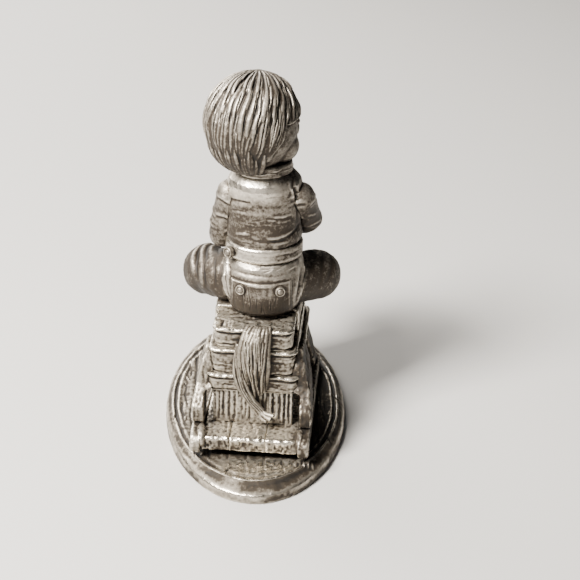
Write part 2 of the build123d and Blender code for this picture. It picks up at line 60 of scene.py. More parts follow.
# each lamp's name, place, size in metres, watts and colour
LAMPS = (
    ("key", (140, 100, 225), 0.08, 4.0, (1.0, 0.95, 0.88)),
    ("fill", (60, 220, 60), 0.20, 0.08, (1.0, 0.95, 0.90)),
    ("rim", (110, -200, 150), 0.20, 1.2, (1.0, 0.95, 0.88)),
)
SKY_COLOUR = (0.80, 0.82, 0.86, 1)
SKY_STRENGTH = 0.05
PAPER_COLOUR = (0.50, 0.495, 0.485, 1)
PAPER_ROUGHNESS = 0.85
FLOOR_HALF_SIZE = 3.0


# ------ camera, floor and light
def look(obj, eye, aim):
    """Puts an object at `eye` and points it at `aim`, both in millimetres."""
    eye, aim = Vector(eye), Vector(aim)
    obj.location = eye * MM
    obj.rotation_euler = (aim - eye).to_track_quat("-Z", "Y").to_euler()


def placed(name, data):
    """A new object in the scene."""
    obj = bpy.data.objects.new(name, data)
    bpy.context.collection.objects.link(obj)
    return obj


camera = placed("camera", bpy.data.cameras.new("camera"))
look(camera, CAMERA_EYE, CAMERA_AIM)
camera.data.sensor_width = CAMERA_SENSOR
camera.data.lens = CAMERA_LENS
camera.data.shift_x = CAMERA_SHIFT_X
camera.data.clip_start, camera.data.clip_end = CAMERA_CLIP
bpy.context.scene.camera = camera

world = bpy.data.worlds.new("studio")
bpy.context.scene.world = world
world.use_nodes = True
sky_light = world.node_tree.nodes["Background"].inputs
sky_light["Color"].default_value = SKY_COLOUR
sky_light["Strength"].default_value = SKY_STRENGTH

for name, eye, size, watts, colour in LAMPS:
    lamp = placed(name, bpy.data.lights.new(name, "AREA"))
    look(lamp, eye, LAMP_AIM)
    lamp.data.size = size
    lamp.data.energy = watts
    lamp.data.color = colour


# ------ finishes
class Wire:
    """One output of a material's nodes, so that shader maths reads as an expression."""

    def __init__(self, tree, socket=None):
        self.tree = tree
        self.socket = socket

    def node(self, kind, settings=None, inputs=None, out=0):
        """A new node: its settings first, then its sockets, by name or number."""
        made = self.tree.nodes.new(kind)
        for key, value in (settings or {}).items():
            setattr(made, key, value)
        for key, value in (inputs or {}).items():
            if isinstance(value, Wire):
                self.tree.links.new(value.socket, made.inputs[key])
            else:
                made.inputs[key].default_value = value
        return Wire(self.tree, made.outputs[out])

    def maths(self, operation, a, b=0.0):
        return self.node("ShaderNodeMath", {"operation": operation}, {0: a, 1: b})

    def __add__(self, other):
        return self.maths("ADD", self, other)

    __radd__ = __add__

    def __sub__(self, other):
        return self.maths("SUBTRACT", self, other)

    def __rsub__(self, other):
        return self.maths("SUBTRACT", other, self)

    def __mul__(self, other):
        return self.maths("MULTIPLY", self, other)

    def clamp(self, low, high):
        """This value, stretched so that low is 0 and high is 1, and held there."""
        return self.node("ShaderNodeMapRange", {"clamp": True}, {0: self, 1: low, 2: high})

    def mixed(self, first, second):
        """The first colour where this value is 0, the second where it is 1."""
        return self.node("ShaderNodeMix", {"data_type": "RGBA"}, {0: self, 6: first, 7: second}, out=2)


PATINA = (0.007, 0.005, 0.003, 1)


def pewter(name, middle, bright, grain, mottling):
    """Aged pewter: black left in the hollows, bare metal on the high spots, a fine cast skin, and painted light and
    shade laid over them.

    `grain` is the depth of the skin in millimetres, `mottling` how strongly patches differ.
    """
    finish = bpy.data.materials.new(name)
    finish.use_nodes = True
    tree = finish.node_tree
    shader = tree.nodes["Principled BSDF"]
    wire = Wire(tree)
    place = wire.node("ShaderNodeTexCoord", out="Object")

    def speckle(size, detail, rough=0.6):
        inputs = {"Vector": place, "Scale": 1 / (size * MM), "Detail": detail, "Roughness": rough}
        return wire.node("ShaderNodeTexNoise", None, inputs)

    # the first attribute holds wear with painted light and shade added in; the second darkens places that other parts
    # close in, partly patina, partly painted shade
    wear_and_painted_light = wire.node("ShaderNodeAttribute", {"attribute_name": "wear_and_painted_light"}, out="Fac")
    patina_and_painted_shade = wire.node("ShaderNodeAttribute", {"attribute_name": "patina_and_painted_shade"}, out="Fac")
    cloudy = speckle(4.0, 3.0)
    mottle = speckle(0.9, 5.0, 0.7)
    skin = speckle(0.22, 4.0, 0.7)
    # places closed in by other parts are darkened here: partly patina, partly painted shade
    lightness = wear_and_painted_light + (cloudy - 0.5) * 0.30 + (mottle - 0.5) * mottling + (skin - 0.5) * 0.40 - patina_and_painted_shade * 0.55
    low = lightness.clamp(0.12, 0.54)
    high = lightness.clamp(0.42, 0.92)
    height = skin * 0.5 + mottle * 0.6
    for key, value in (
        ("Base Color", high.mixed(low.mixed(PATINA, middle), bright)),
        ("Roughness", 0.60 - high * 0.33),
        ("Metallic", 0.30 + low * 0.45 + high * 0.23),
        ("Normal", wire.node("ShaderNodeBump", None, {"Strength": 0.55, "Distance": grain * MM, "Height": height})),
    ):
        tree.links.new(value.socket, shader.inputs[key])
    return finish


FINISHES = {
    "base_metal": pewter("aged_base", (0.055, 0.043, 0.030, 1), (0.55, 0.50, 0.42, 1), 0.10, 0.60),
    "horse_metal": pewter("aged_horse", (0.062, 0.048, 0.034, 1), (0.62, 0.57, 0.48, 1), 0.10, 0.50),
    "child_metal": pewter("aged_child", (0.050, 0.038, 0.027, 1), (0.63, 0.58, 0.50, 1), 0.06, 0.42),
}
# how strongly hollows darken and high spots brighten
CONTRAST = {"base_metal": 1.9, "horse_metal": 1.9, "child_metal": 1.8}
EVEN_WEAR = 0.5
# upward faces are made a little lighter
UPWARD_LIGHTENING = 0.04
# rounds of smoothing that hollows are found with, fine to broad, and the weight of each
HOLLOW_SIZES = ((3, 2.6), (9, 1.6), (26, 0.8))


# ------ places
def horse(x, y, z):
    """A place given in the horse's own directions, which is a little askew on the base."""
    return Matrix.Rotation(-HORSE_TURN, 3, "Z") @ Vector((x, y, z)) + HORSE_SHIFT


class View:
    """A direction to work from: points on it are (across, up) from its middle."""

    def __init__(self, middle, across, up, toward):
        self.middle = np.array(middle, float)
        self.axes = np.array([across, up, toward], float)

    def flat(self, points):
        """Points as (across, up, toward) on this view."""
        return (points - self.middle) @ self.axes.T


BASE_TOP = View((0, 0, 0), (1, 0, 0), (0, 1, 0), (0, 0, 1))
ACROSS = horse(1, 0, 0) - HORSE_SHIFT
ALONG = horse(0, 1, 0) - HORSE_SHIFT
BACK = View(HORSE_SHIFT, ACROSS, UP, ALONG)
FRONT = View(HORSE_SHIFT, ACROSS, UP, -ALONG)
LEFT = View(HORSE_SHIFT, ALONG, UP, ACROSS)
RIGHT = View(HORSE_SHIFT, ALONG, UP, -ACROSS)
TOP = View(HORSE_SHIFT, ACROSS, ALONG, UP)
SIDES = ((1, "left", LEFT), (-1, "right", RIGHT))

HEAD = horse(0.7, 1.5, 43.4)
FACE_TURN = math.radians(66.0)
FACE_WAY = Vector((-math.sin(FACE_TURN), -math.cos(FACE_TURN), 0))
FACE_LEFT = UP.cross(FACE_WAY)
FACE = View(HEAD, FACE_LEFT, UP, FACE_WAY)


def face(across, forward, up):
    """A place on the head, from its middle."""
    return HEAD + FACE_LEFT * across + FACE_WAY * forward + UP * up


# ------ modelling
def ramp(values, start, span):
    """0 up to start, 1 from a span later; a negative span runs the other way."""
    return np.clip((values - start) / span, 0, 1)


def node_copy(name):
    """A node's CAD solids as a mesh with its points joined up, in millimetres."""
    bm = bmesh.new()
    bm.from_mesh(nodes[name].data)
    bmesh.ops.scale(bm, vec=(1 / MM,) * 3, verts=bm.verts)
    bmesh.ops.remove_doubles(bm, verts=bm.verts, dist=1e-4)
    return bm


def ball(bm, centre, radii, turn=None):
    """An egg shape: its radii are across x, y and z before it is turned."""
    matrix = Matrix.Translation(centre)
    if turn is not None:
        matrix = matrix @ turn.to_4x4()
    matrix = matrix @ Matrix.Diagonal((*radii, 1))
    bmesh.ops.create_icosphere(bm, subdivisions=4, radius=1.0, matrix=matrix)


def strand(bm, path, widths, depths, outward, sides=10):
    """A tapered roll along a path, flat against a surface whose outward way is given."""
    path = [Vector(p) for p in path]
    loops = []
    for k, point in enumerate(path):
        way = (path[min(k + 1, len(path) - 1)] - path[max(k - 1, 0)]).normalized()
        out = outward(point) if callable(outward) else Vector(outward)
        side = way.cross(out).normalized()
        out = side.cross(way).normalized()
        turn = Matrix((side, out, way)).transposed().to_4x4()
        scale = Matrix.Diagonal((widths[k], depths[k], 1, 1))
        ends = k in (0, len(path) - 1)
        ring = bmesh.ops.create_circle(
            bm, cap_ends=ends, segments=sides, radius=1.0, matrix=Matrix.Translation(point) @ turn @ scale
        )
        loops.append(list({edge for vert in ring["verts"] for edge in vert.link_edges}))
    for first, second in zip(loops, loops[1:]):
        bmesh.ops.bridge_loops(bm, edges=first + second)


def smooth_path(points, steps=14):
    """Points along a smooth line through the given ones."""
    points = [Vector(p) for p in points]
    ends = [points[0] * 2 - points[1]] + points + [points[-1] * 2 - points[-2]]
    made = []
    spans = len(points) - 1
    for k in range(steps + 1):
        t = k / steps * spans
        s = min(int(t), spans - 1)
        t -= s
        a, b, c, d = ends[s:s + 4]
        made.append((2 * b + (c - a) * t + (2 * a - 5 * b + 4 * c - d) * t * t + (3 * b - a - 3 * c + d) * t ** 3) / 2)
    return made


def horse_path(points, steps):
    """A smooth line through places given in the horse's own directions."""
    return smooth_path([horse(*p) for p in points], steps)


def curve(points, steps=12):
    """Smooth flat line through a few places."""
    return [tuple(p)[:2] for p in smooth_path([(*p, 0) for p in points], steps)]


def speckles(points, size, seed):
    """Smooth random values from -1 to 1 over space, about `size` apart; size may be three numbers."""
    p = points / np.array(size, float) + seed * 17.31
    cell = np.floor(p).astype(np.int64)
    part = p - cell
    part = part * part * (3 - 2 * part)
    total = np.zeros(len(p))
    for corner in range(8):
        step = np.array([corner & 1, corner >> 1 & 1, corner >> 2])
        weight = np.prod(np.where(step, part, 1 - part), axis=1)
        key = (cell + step) @ np.array([374761393, 668265263, 2147483647]) + seed * 144665
        key = (key ^ (key >> 13)) * 1274126177
        total += weight * (((key ^ (key >> 16)) & 65535) / 32767.5 - 1)
    return total


def numbers(items, field, width, kind=float):
    """A field of some mesh items, as rows of numbers."""
    values = np.empty(len(items) * width, kind)
    items.foreach_get(field, values)
    return values.reshape(-1, width)


class Casting:
    """One piece while it is worked: a dense mesh whose points are pushed in and out.

    `voxel` is the size of its mesh grid in millimetres, `soften` how often it is smoothed at the start.
    """

    def __init__(self, name, bm, voxel, soften=2):
        mesh = bpy.data.meshes.new(name)
        bm.to_mesh(mesh)
        bm.free()
        self.obj = placed(name, mesh)
        skin = self.obj.modifiers.new("skin", "REMESH")
        skin.mode = "VOXEL"
        skin.voxel_size = voxel
        skin.use_smooth_shade = True
        bpy.context.view_layer.update()
        dense = bpy.data.meshes.new_from_object(self.obj.evaluated_get(bpy.context.evaluated_depsgraph_get()))
        self.obj.modifiers.clear()
        self.obj.data = dense
        self.mesh = dense
        self.co = numbers(dense.vertices, "co", 3)
        self.edges = numbers(dense.edges, "vertices", 2, np.int64)
        self.links = np.bincount(self.edges.ravel(), minlength=len(self.co)).clip(1)
        self.tone_and_painted_light = np.zeros(len(self.co))
        self.relax(soften)
        self.renew()

    @property
    def z(self):
        return self.co[:, 2]

    def around(self, values):
        """Each point's neighbours, averaged."""
        a, b = self.edges.T
        total = np.zeros_like(values)
        for k in range(values.shape[1]):
            total[:, k] = np.bincount(a, values[b, k], len(values)) + np.bincount(b, values[a, k], len(values))
        return total / self.links[:, None]

    def relax(self, times):
        """Smooths the surface."""
        for _ in range(times):
            self.co = (self.co + self.around(self.co)) / 2

    def renew(self):
        """Brings the mesh and the normals up to date with the moved points."""
        self.mesh.vertices.foreach_set("co", self.co.ravel())
        self.mesh.update()
        self.normals = numbers(self.mesh.vertex_normals, "vector", 3)
        self.seen = {}

    def push(self, amount):
        """Moves every point out by its own amount."""
        self.co = self.co + self.normals * np.asarray(amount)[:, None]

    def facing(self, view, start=0.15, full=0.5):
        """1 where the surface faces the view, 0 where it is turned away."""
        toward = self.normals @ view.axes[2]
        return np.clip((toward - start) / (full - start), 0, 1)

    def line(self, view, points, width, height, taper=True):
        """Raises a ridge, or with a negative height cuts a groove, along a line drawn on a view."""
        if view not in self.seen:
            self.seen[view] = (view.flat(self.co)[:, :2], self.facing(view))
        flat, turned = self.seen[view]
        points = np.array(points, float)
        low, high = points.min(0) - width * 2, points.max(0) + width * 2
        inside = np.all((flat > low) & (flat < high), axis=1)
        near = np.nonzero(inside & (turned > 0))[0]
        if len(near) == 0:
            return
        p = flat[near]
        best = np.full(len(near), 1e9)
        along = np.zeros(len(near))
        lengths = np.linalg.norm(np.diff(points, axis=0), axis=1)
        run = np.concatenate([[0], np.cumsum(lengths)])
        for k in range(len(points) - 1):
            step = points[k + 1] - points[k]
            t = np.clip((p - points[k]) @ step / max(step @ step, 1e-9), 0, 1)
            gap = np.linalg.norm(p - points[k] - t[:, None] * step, axis=1)
            closer = gap < best
            best[closer] = gap[closer]
            along[closer] = (run[k] + t * lengths[k])[closer] / run[-1]
        profile = np.exp(-(best / width) ** 2 * 1.5)
        if taper:
            profile = profile * np.sqrt(np.clip(np.sin(np.pi * (0.06 + 0.88 * along)), 0, 1))
        self.co[near] += self.normals[near] * (height * profile * turned[near])[:, None]

    def dimple(self, centre, radius, height):
        """Raises a round patch, or with a negative height sinks it."""
        gap = np.linalg.norm(self.co - np.array(centre), axis=1)
        self.push(height * np.exp(-(gap / radius) ** 2 * 1.5))

    def rough(self, size, height, seed, where=1.0):
        """Uneven skin: bumps about `size` apart."""
        self.push(height * speckles(self.co, size, seed) * where)

    def draw(self, view, *drawn, smooth=True):
        """Ridges and grooves, each given as its places, width and height."""
        for points, width, height in drawn:
            self.line(view, curve(points) if smooth else points, width, height)

    def finish(self, slot, *stands_for):
        """Sets the wear, with painted light and shade added in, brings the piece to metres and hands it over."""
        self.renew()
        hollow = np.zeros(len(self.co))
        soft = self.co
        for times, weight in HOLLOW_SIZES:
            for _ in range(times):
                soft = (soft + self.around(soft)) / 2
            hollow += weight * np.sum((soft - self.co) * self.normals, axis=1)
        # hollows darken as patina, upward faces lighten a little, and each piece's own offsets add stains, tone and
        # painted light and shade
        wear_and_painted_light = np.clip(EVEN_WEAR - hollow * CONTRAST[slot] + UPWARD_LIGHTENING * self.normals[:, 2] + self.tone_and_painted_light, 0, 1)
        self.mesh.attributes.new("wear_and_painted_light", "FLOAT", "POINT").data.foreach_set("value", wear_and_painted_light)
        self.mesh.transform(Matrix.Scale(MM, 4))
        self.mesh.update()
        self.mesh.materials.clear()
        self.mesh.materials.append(FINISHES[slot])
        self.mesh.shade_smooth()
        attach(self.obj, "root")
        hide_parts(*stands_for)
        castings.append(self)


castings = []


def scatter(casting, view, low, high, count, length, width, height, upright=False, wander=0.15):
    """Many short ridges or grooves inside a box drawn on a view, as grain, tool marks or stitches."""
    for _ in range(count):
        start = rng.uniform(low, high)
        run = length * rng.uniform(0.5, 1.4)
        way = np.array([rng.normal(0, wander), 1.0] if upright else [1.0, rng.normal(0, wander)])
        bend = rng.normal(0, wander * run / 3, 2)
        points = [start, start + way * run / 2 + bend, start + way * run]
        casting.line(view, points, width * rng.uniform(0.7, 1.3), height * rng.uniform(0.5, 1.3))


# ------ base
DECK = (11.6, 18.9)
RIM = (12.4, 21.2)
DECK_TOP = 2.0
DECK_EDGE = 0.985
RIM_DROP = 0.75
BOARD_WIDTH = 2.4
# rings as parts of the deck's radii: place, width and height
RINGS = ((0.982, 0.014, 0.20), (0.950, 0.014, -0.12), (0.915, 0.014, 0.16), (1.03, 0.016, -0.06))
# cracks in the boards: where each starts and how far it runs
CRACKS = ((9.6, -3.5, 6.0), (8.7, 0.5, 7.5), (7.9, 4.0, 7.0), (9.9, 1.0, 4.0), (-9.2, -2.0, 7.0), (-8.0, 1.5, 9.0))

base = Casting("cast_base", node_copy("base"), 0.155, 2)
flat = base.co / np.array([DECK[0], DECK[1], 1])
out = np.linalg.norm(flat[:, :2], axis=1)
deck = ramp(base.z, 1.85, 0.1) * (out < 1.0)
above = np.clip(base.normals[:, 2], 0, 1) * (base.co[:, 2] > 0.5)
rim = np.linalg.norm(base.co[:, :2] / np.array(RIM), axis=1)
slope = ramp(out, DECK_EDGE, np.maximum(out - DECK_EDGE + (1 - rim), 1e-6))
upper = ramp(base.z, 0.9, 0.25) * (out > DECK_EDGE)
base.co[:, 2] += (DECK_TOP - RIM_DROP * slope ** 1.3 - base.co[:, 2]) * upper
base.relax(3)
base.renew()
for ring, wide, rise in RINGS:
    wave = 0.006 * speckles(base.co, 5.0, 9)
    base.push(above * rise * np.exp(-((out - ring + wave) / wide) ** 2) * (0.6 + 0.5 * speckles(base.co, 2.5, 8)))
for k in range(-4, 6):
    x = (k - 0.5) * BOARD_WIDTH
    reach = DECK[1] * math.sqrt(max(1 - (x / DECK[0]) ** 2, 0)) - 0.5
    if reach > 1:
        joint = [(x + 0.08 * math.sin(y * 1.7 + k), y) for y in np.linspace(-reach, reach, 14)]
        base.line(BASE_TOP, joint, 0.18, -0.07, taper=False)
base.renew()
base.rough((0.55, 5.5, 2), 0.045, 11, deck)
base.rough((0.42, 2.4, 2), 0.03, 12, deck)
base.rough(0.42, 0.025, 13)
base.rough(1.6, 0.06, 14)
x, y, _ = base.co.T
sandy = deck * np.clip(1.6 - np.abs(x + 0.8) / 4.2, 0, 1) * (y > 14.2)
base.rough(0.36, 0.06, 15, sandy)
outer = ramp(out, 0.99, 0.02)
x = base.co[:, 0]
# the rim is darker in stained patches, and darker still towards the right: painted shade
stain_and_right_shade = 0.13 + 0.24 * speckles(base.co, (2.6, 2.6, 1.0), 16) + 0.10 * np.clip(-x / 5, 0, 1)
# the deck is darker at its right end, a painted shadow of the figure, and a little darker at its left end
right_end_shadow, left_end = np.clip(-x - 5, 0, 1), np.clip(x - 5, 0, 1)
base.tone_and_painted_light = 0.46 * sandy - outer * stain_and_right_shade - 0.14 * deck * right_end_shadow - 0.08 * deck * left_end
base.renew()
for _ in range(42):
    turn = rng.uniform(0, 2 * math.pi)
    start = np.array([math.cos(turn) * DECK[0], math.sin(turn) * DECK[1]]) * rng.uniform(0.86, 0.97)
    way = np.array([rng.normal(0, 0.5), 1.0]) * rng.uniform(0.5, 1.5)
    base.line(BASE_TOP, [start, start + way], 0.11, rng.choice([-0.16, 0.13]))
for x, y, run in CRACKS:
    base.line(BASE_TOP, [(x, y), (x + 0.2, y + run / 2), (x - 0.3, y + run)], 0.13, -0.10)
for x in np.linspace(-7.4, -5.2, 5):
    base.line(BASE_TOP, [(x, 14.9), (x - 0.05, 15.9)], 0.13, 0.2)
base.finish("base_metal", "base")

# ------ rockers and platform
for side, name in ((1, "left"), (-1, "right")):
    rocker = Casting(f"cast_rocker_{name}", node_copy(f"rocker_{name}"), 0.12, 14)
    back = rocker.co @ np.array(ALONG)
    rocker.co[:, 2] -= 0.045 * np.clip(back - 9.5, 0, None) ** 2 * ramp(rocker.z, 2.6, 1.6)
    rocker.renew()
    rocker.rough((0.5, 3.0, 0.6), 0.06, 21 + side)
    rocker.rough(0.3, 0.035, 24 + side)
    rocker.line(TOP, [(side * 6.45, -9), (side * 6.42, 3), (side * 6.45, 15)], 0.14, 0.14, taper=False)
    # both rockers are darker, the right one far more: painted shade on the side away from the lamp
    rocker.tone_and_painted_light -= 0.05 if side > 0 else 0.22
    rocker.finish("horse_metal", f"rocker_{name}")

for k, (name, low, high) in enumerate((("left", 2.6, 6.2), ("middle", -2.1, 2.6), ("right", -6.2, -2.1))):
    plank = Casting(f"cast_plank_{name}", node_copy(f"platform_plank_{name}"), 0.12, 3)
    top = np.clip(plank.normals[:, 2], 0, 1)
    plank.rough((0.45, 2.6, 0.6), 0.06, 31 + k, top)
    plank.rough(0.36, 0.055, 34 + k, top)
    # the plank tops are lighter: painted light from above
    plank.tone_and_painted_light = 0.16 * top
    rear = np.clip(plank.normals @ np.array(ALONG), 0, 1)
    plank.rough((0.7, 0.7, 0.8), 0.09, 37 + k, rear)
    plank.rough(0.3, 0.05, 40 + k)
    edge = [(x, 14.15 + 0.10 * math.sin(x * 5.1 + k) + rng.normal(0, 0.04)) for x in np.linspace(low, high, 12)]
    plank.line(TOP, edge, 0.14, 0.20, taper=False)
    plank.renew()
    scatter(plank, BACK, (low + 0.2, 3.3), (high - 0.2, 4.3), 5, 0.5, 0.12, -0.08, upright=True)
    plank.finish("horse_metal", f"platform_plank_{name}")

# ------ leg panels
for name, view, reach, seed in (("rear", BACK, 5.2, 51), ("front", FRONT, 4.5, 52)):
    panel = Casting(f"cast_leg_panel_{name}", node_copy(f"leg_panel_{name}"), 0.11, 3)
    panel.rough((0.35, 0.6, 2.2), 0.06, seed)
    for x in np.arange(-reach + 0.35, reach, 0.72):
        x += rng.normal(0, 0.08)
        lean = rng.normal(0, 0.12)
        foot = 4.9 + rng.uniform(0, 1.3)
        cut = np.interp(x, (-4.2, -2.4, 0.0, 5.0), (1.3, 1.1, 0.45, 0.6)) if name == "rear" else 1.0
        gap = [(x, foot), (x + lean, 6.9), (x + lean * 0.6, 9.4)]
        panel.line(view, gap, 0.17, -0.20 * cut * rng.uniform(0.5, 1.2))
        slat = [(x + 0.34, foot + 0.3), (x + 0.34 + lean, 7.0), (x + 0.36, 9.2)]
        panel.line(view, slat, 0.14, 0.12 * cut * rng.uniform(0.4, 1.3))
    panel.renew()
    panel.rough(0.3, 0.05, seed + 2)
    panel.tone_and_painted_light += 0.12
    panel.finish("horse_metal", f"leg_panel_{name}")

# ------ body boards
BOARDS = {"bottom": (9.4, 12.0), "middle": (12.0, 15.7), "top": (15.7, 18.7)}
for k, (name, (low, high)) in enumerate(BOARDS.items()):
    board = Casting(f"cast_board_{name}", node_copy(f"body_board_{name}"), 0.12, 3)
    flank = np.clip(1 - np.abs(board.normals[:, 2]) * 1.4, 0, 1)
    board.rough((2.6, 2.6, 0.36), 0.05, 61 + k, flank)
    board.rough((1.0, 1.0, 0.26), 0.025, 64 + k, flank)
    board.rough(0.32, 0.035, 67 + k)
    board.renew()
    for view, wide in ((BACK, 5.6), (FRONT, 5.6), (LEFT, 9.0), (RIGHT, 9.0)):
        middle = 0.0 if wide < 6 else 0.6
        across = np.linspace(-wide, wide, 26) + middle
        for height, thick, rise in ((high - 0.25, 0.20, 0.22), (high - 0.72, 0.14, -0.10), (low + 0.22, 0.14, -0.12)):
            wave = rng.normal(0, 0.035, len(across)) + 0.045 * np.sin(across * 1.3 + k + height)
            board.line(view, np.column_stack([across, height + wave]), thick, rise, taper=False)
        scatter(board, view, (-wide + middle, low + 0.4), (wide + middle - 1.5, high - 0.5), 7, 2.4, 0.12, -0.05)
        scatter(board, view, (-wide + middle, low + 0.4), (wide + middle - 1.0, high - 0.5), 5, 1.6, 0.15, 0.05)
    if name == "top":
        board.renew()
        roof = np.clip(board.normals[:, 2] * 2 - 1, 0, 1)
        board.rough((0.9, 0.45, 0.5), 0.15, 71, roof)
        board.rough(0.3, 0.05, 72, roof)
        # the top is lighter: painted light from above
        board.tone_and_painted_light = 0.18 * roof
        for _ in range(14):
            x = rng.uniform(-4.6, 4.4)
            board.line(TOP, [(x, 7.6), (x + rng.normal(0, 0.3), 9.2)], 0.2, rng.choice([-0.08, 0.09]))
    board.finish("horse_metal", f"body_board_{name}")

# ------ horse's legs
HIND_LEG_LINES = (
    ([(6.0, 14.5), (7.4, 12.0), (8.6, 9.8)], 0.7, 0.22),
    ([(8.6, 14.2), (9.0, 11.4), (10.4, 8.2)], 0.25, -0.16),
    ([(9.6, 9.4), (11.4, 7.6), (12.9, 5.6)], 0.4, 0.16),
)
for side, name, view in SIDES:
    for end in ("hind", "fore"):
        bm = node_copy(f"leg_{end}_{name}")
        if end == "hind":
            ball(bm, horse(side * 6.4, 13.2, 4.4), (0.82, 2.0, 1.35))
        leg = Casting(f"cast_leg_{end}_{name}", bm, 0.10, 12)
        leg.rough(0.9, 0.07, 81)
        leg.rough((0.3, 0.3, 1.6), 0.05, 82)
        if end == "hind":
            leg.draw(view, *HIND_LEG_LINES, smooth=False)
        else:
            leg.line(view, [(-8.0, 5.6), (-6.2, 5.5), (-4.9, 5.6)], 0.16, -0.2, taper=False)
        leg.rough(0.3, 0.03, 83)
        # the right legs are darker: painted shade
        leg.tone_and_painted_light -= 0.0 if side > 0 else 0.24
        leg.finish("horse_metal", f"leg_{end}_{name}")

# ------ saddle blanket
blanket = Casting("cast_blanket", node_copy("saddle_blanket"), 0.10, 4)
blanket.rough(1.1, 0.06, 91)
blanket.rough(0.28, 0.035, 92)
for view in (LEFT, RIGHT):
    blanket.line(view, [(-4.7, 16.9), (0, 16.8), (4.7, 16.9)], 0.14, -0.18, taper=False)
    for y in np.arange(-4.4, 4.5, 0.42):
        blanket.line(view, [(y, 16.8), (y + rng.normal(0, 0.05), 15.8)], 0.10, -0.18)
    scatter(blanket, view, (-4.4, 16.9), (3.6, 18.2), 8, 1.4, 0.22, 0.10, upright=True)
blanket.finish("horse_metal", "saddle_blanket")

# ------ tail
def tail_bundle(bm, line, spread, count, width):
    """Locks side by side down a line: `spread` is how far each place fans out, and `width` a lock's."""
    for k in range(count):
        t = (k + 0.5) / count * 2 - 1
        path, widths, depths = [], [], []
        for j, (x, y, z) in enumerate(line):
            fan = spread[j]
            sway = 0.10 * math.sin(j * 1.6 + k * 2.1)
            round_in = 0.35 * t * t * fan
            ragged = 0.3 * (k % 3) * (j == len(line) - 1)
            path.append(horse(x + t * fan + sway, y - round_in + rng.normal(0, 0.06), z - ragged))
            widths.append(width[j] * rng.uniform(0.85, 1.15))
            depths.append(width[j] * 1.15)
        path = smooth_path(path, 10)
        stops = np.linspace(0, len(line) - 1, 11)
        widths = np.interp(stops, range(len(line)), widths)
        depths = np.interp(stops, range(len(line)), depths)
        strand(bm, path, widths, depths, ALONG)


bm = bmesh.new()
ball(bm, horse(-0.5, 10.35, 15.4), (1.45, 0.75, 3.4))
ball(bm, horse(-0.75, 9.6, 18.3), (0.9, 1.2, 0.6))
locks = [
    (-0.85, 9.5, 18.9), (-0.62, 10.35, 18.5), (-0.22, 11.3, 16.6),
    (-0.28, 11.5, 14.2), (-0.5, 10.9, 11.9), (-0.7, 10.6, 10.1),
]
over = [(x + 0.1, y + 0.3, z - 0.3) for x, y, z in locks]
tail_bundle(bm, locks, (1.5, 1.85, 2.0, 1.9, 1.6, 1.3), 8, (0.26, 0.34, 0.40, 0.38, 0.32, 0.16))
tail_bundle(bm, over, (1.0, 1.35, 1.5, 1.4, 1.2, 1.0), 4, (0.16, 0.28, 0.32, 0.30, 0.26, 0.12))
tail = Casting("cast_tail", bm, 0.065, 1)
for _ in range(26):
    x = rng.uniform(-2.0, 1.2)
    z = rng.uniform(12.0, 17.2)
    pull = (-0.5 - x) * 0.25
    tail.line(BACK, [(x, z + 1.0), (x + pull * 0.4, z), (x + pull, z - 1.6)], 0.08, -0.14)
tail.finish("horse_metal", "tail")

bm = bmesh.new()
sweep = [
    (1.75, 10.4, 16.9), (1.85, 10.95, 14.6), (1.65, 10.95, 12.5),
    (1.1, 11.05, 10.6), (0.1, 11.2, 8.8), (-1.2, 11.4, 7.5),
]
under = [(x + 0.05, y - 0.35, z - 0.1) for x, y, z in sweep]
tail_bundle(bm, sweep, (0.3, 0.5, 0.6, 0.6, 0.6, 0.5), 3, (0.22, 0.34, 0.38, 0.38, 0.36, 0.3))
tail_bundle(bm, under, (0.3,) * 6, 2, (0.2, 0.35, 0.4, 0.4, 0.35, 0.2))
for dx, dy, dz, thick in ((-0.1, 0.2, 0.35, 0.62), (0.25, 0.45, -0.05, 0.60), (0.8, 0.35, -0.45, 0.55)):
    ends = [
        (0.9, 11.0, 10.0), (0.1, 11.2, 8.6), (-1.1, 11.4, 7.5),
        (-2.1 + dx, 11.6 + dy * 0.6, 7.0 + dz * 0.6), (-2.9 + dx, 11.8 + dy, 6.85 + dz),
    ]
    path = horse_path(ends, 9)
    strand(bm, path, np.linspace(0.36, thick * 0.5, 10), np.linspace(0.36, thick * 0.6, 10), ALONG)
sweep_lock = Casting("cast_tail_lock", bm, 0.065, 1)
for t in (-0.4, 0.0, 0.35):
    sweep_lock.line(BACK, [(x + t, z) for x, _, z in sweep], 0.07, -0.10)
sweep_lock.finish("horse_metal", "tail_lock")

# ------ horse's head
# mouth, brow, jaw and cheek
HORSE_FACE_LINES = (
    ([(-15.3, 22.5), (-14.2, 22.5), (-12.9, 23.0)], 0.16, -0.35),
    ([(-11.6, 27.5), (-10.8, 27.75), (-10.0, 27.4)], 0.25, 0.2),
    ([(-12.2, 23.6), (-10.4, 22.7), (-8.6, 23.8), (-8.0, 25.4)], 0.30, -0.22),
    ([(-13.0, 26.0), (-12.0, 26.6), (-11.2, 26.9)], 0.2, -0.1),
)
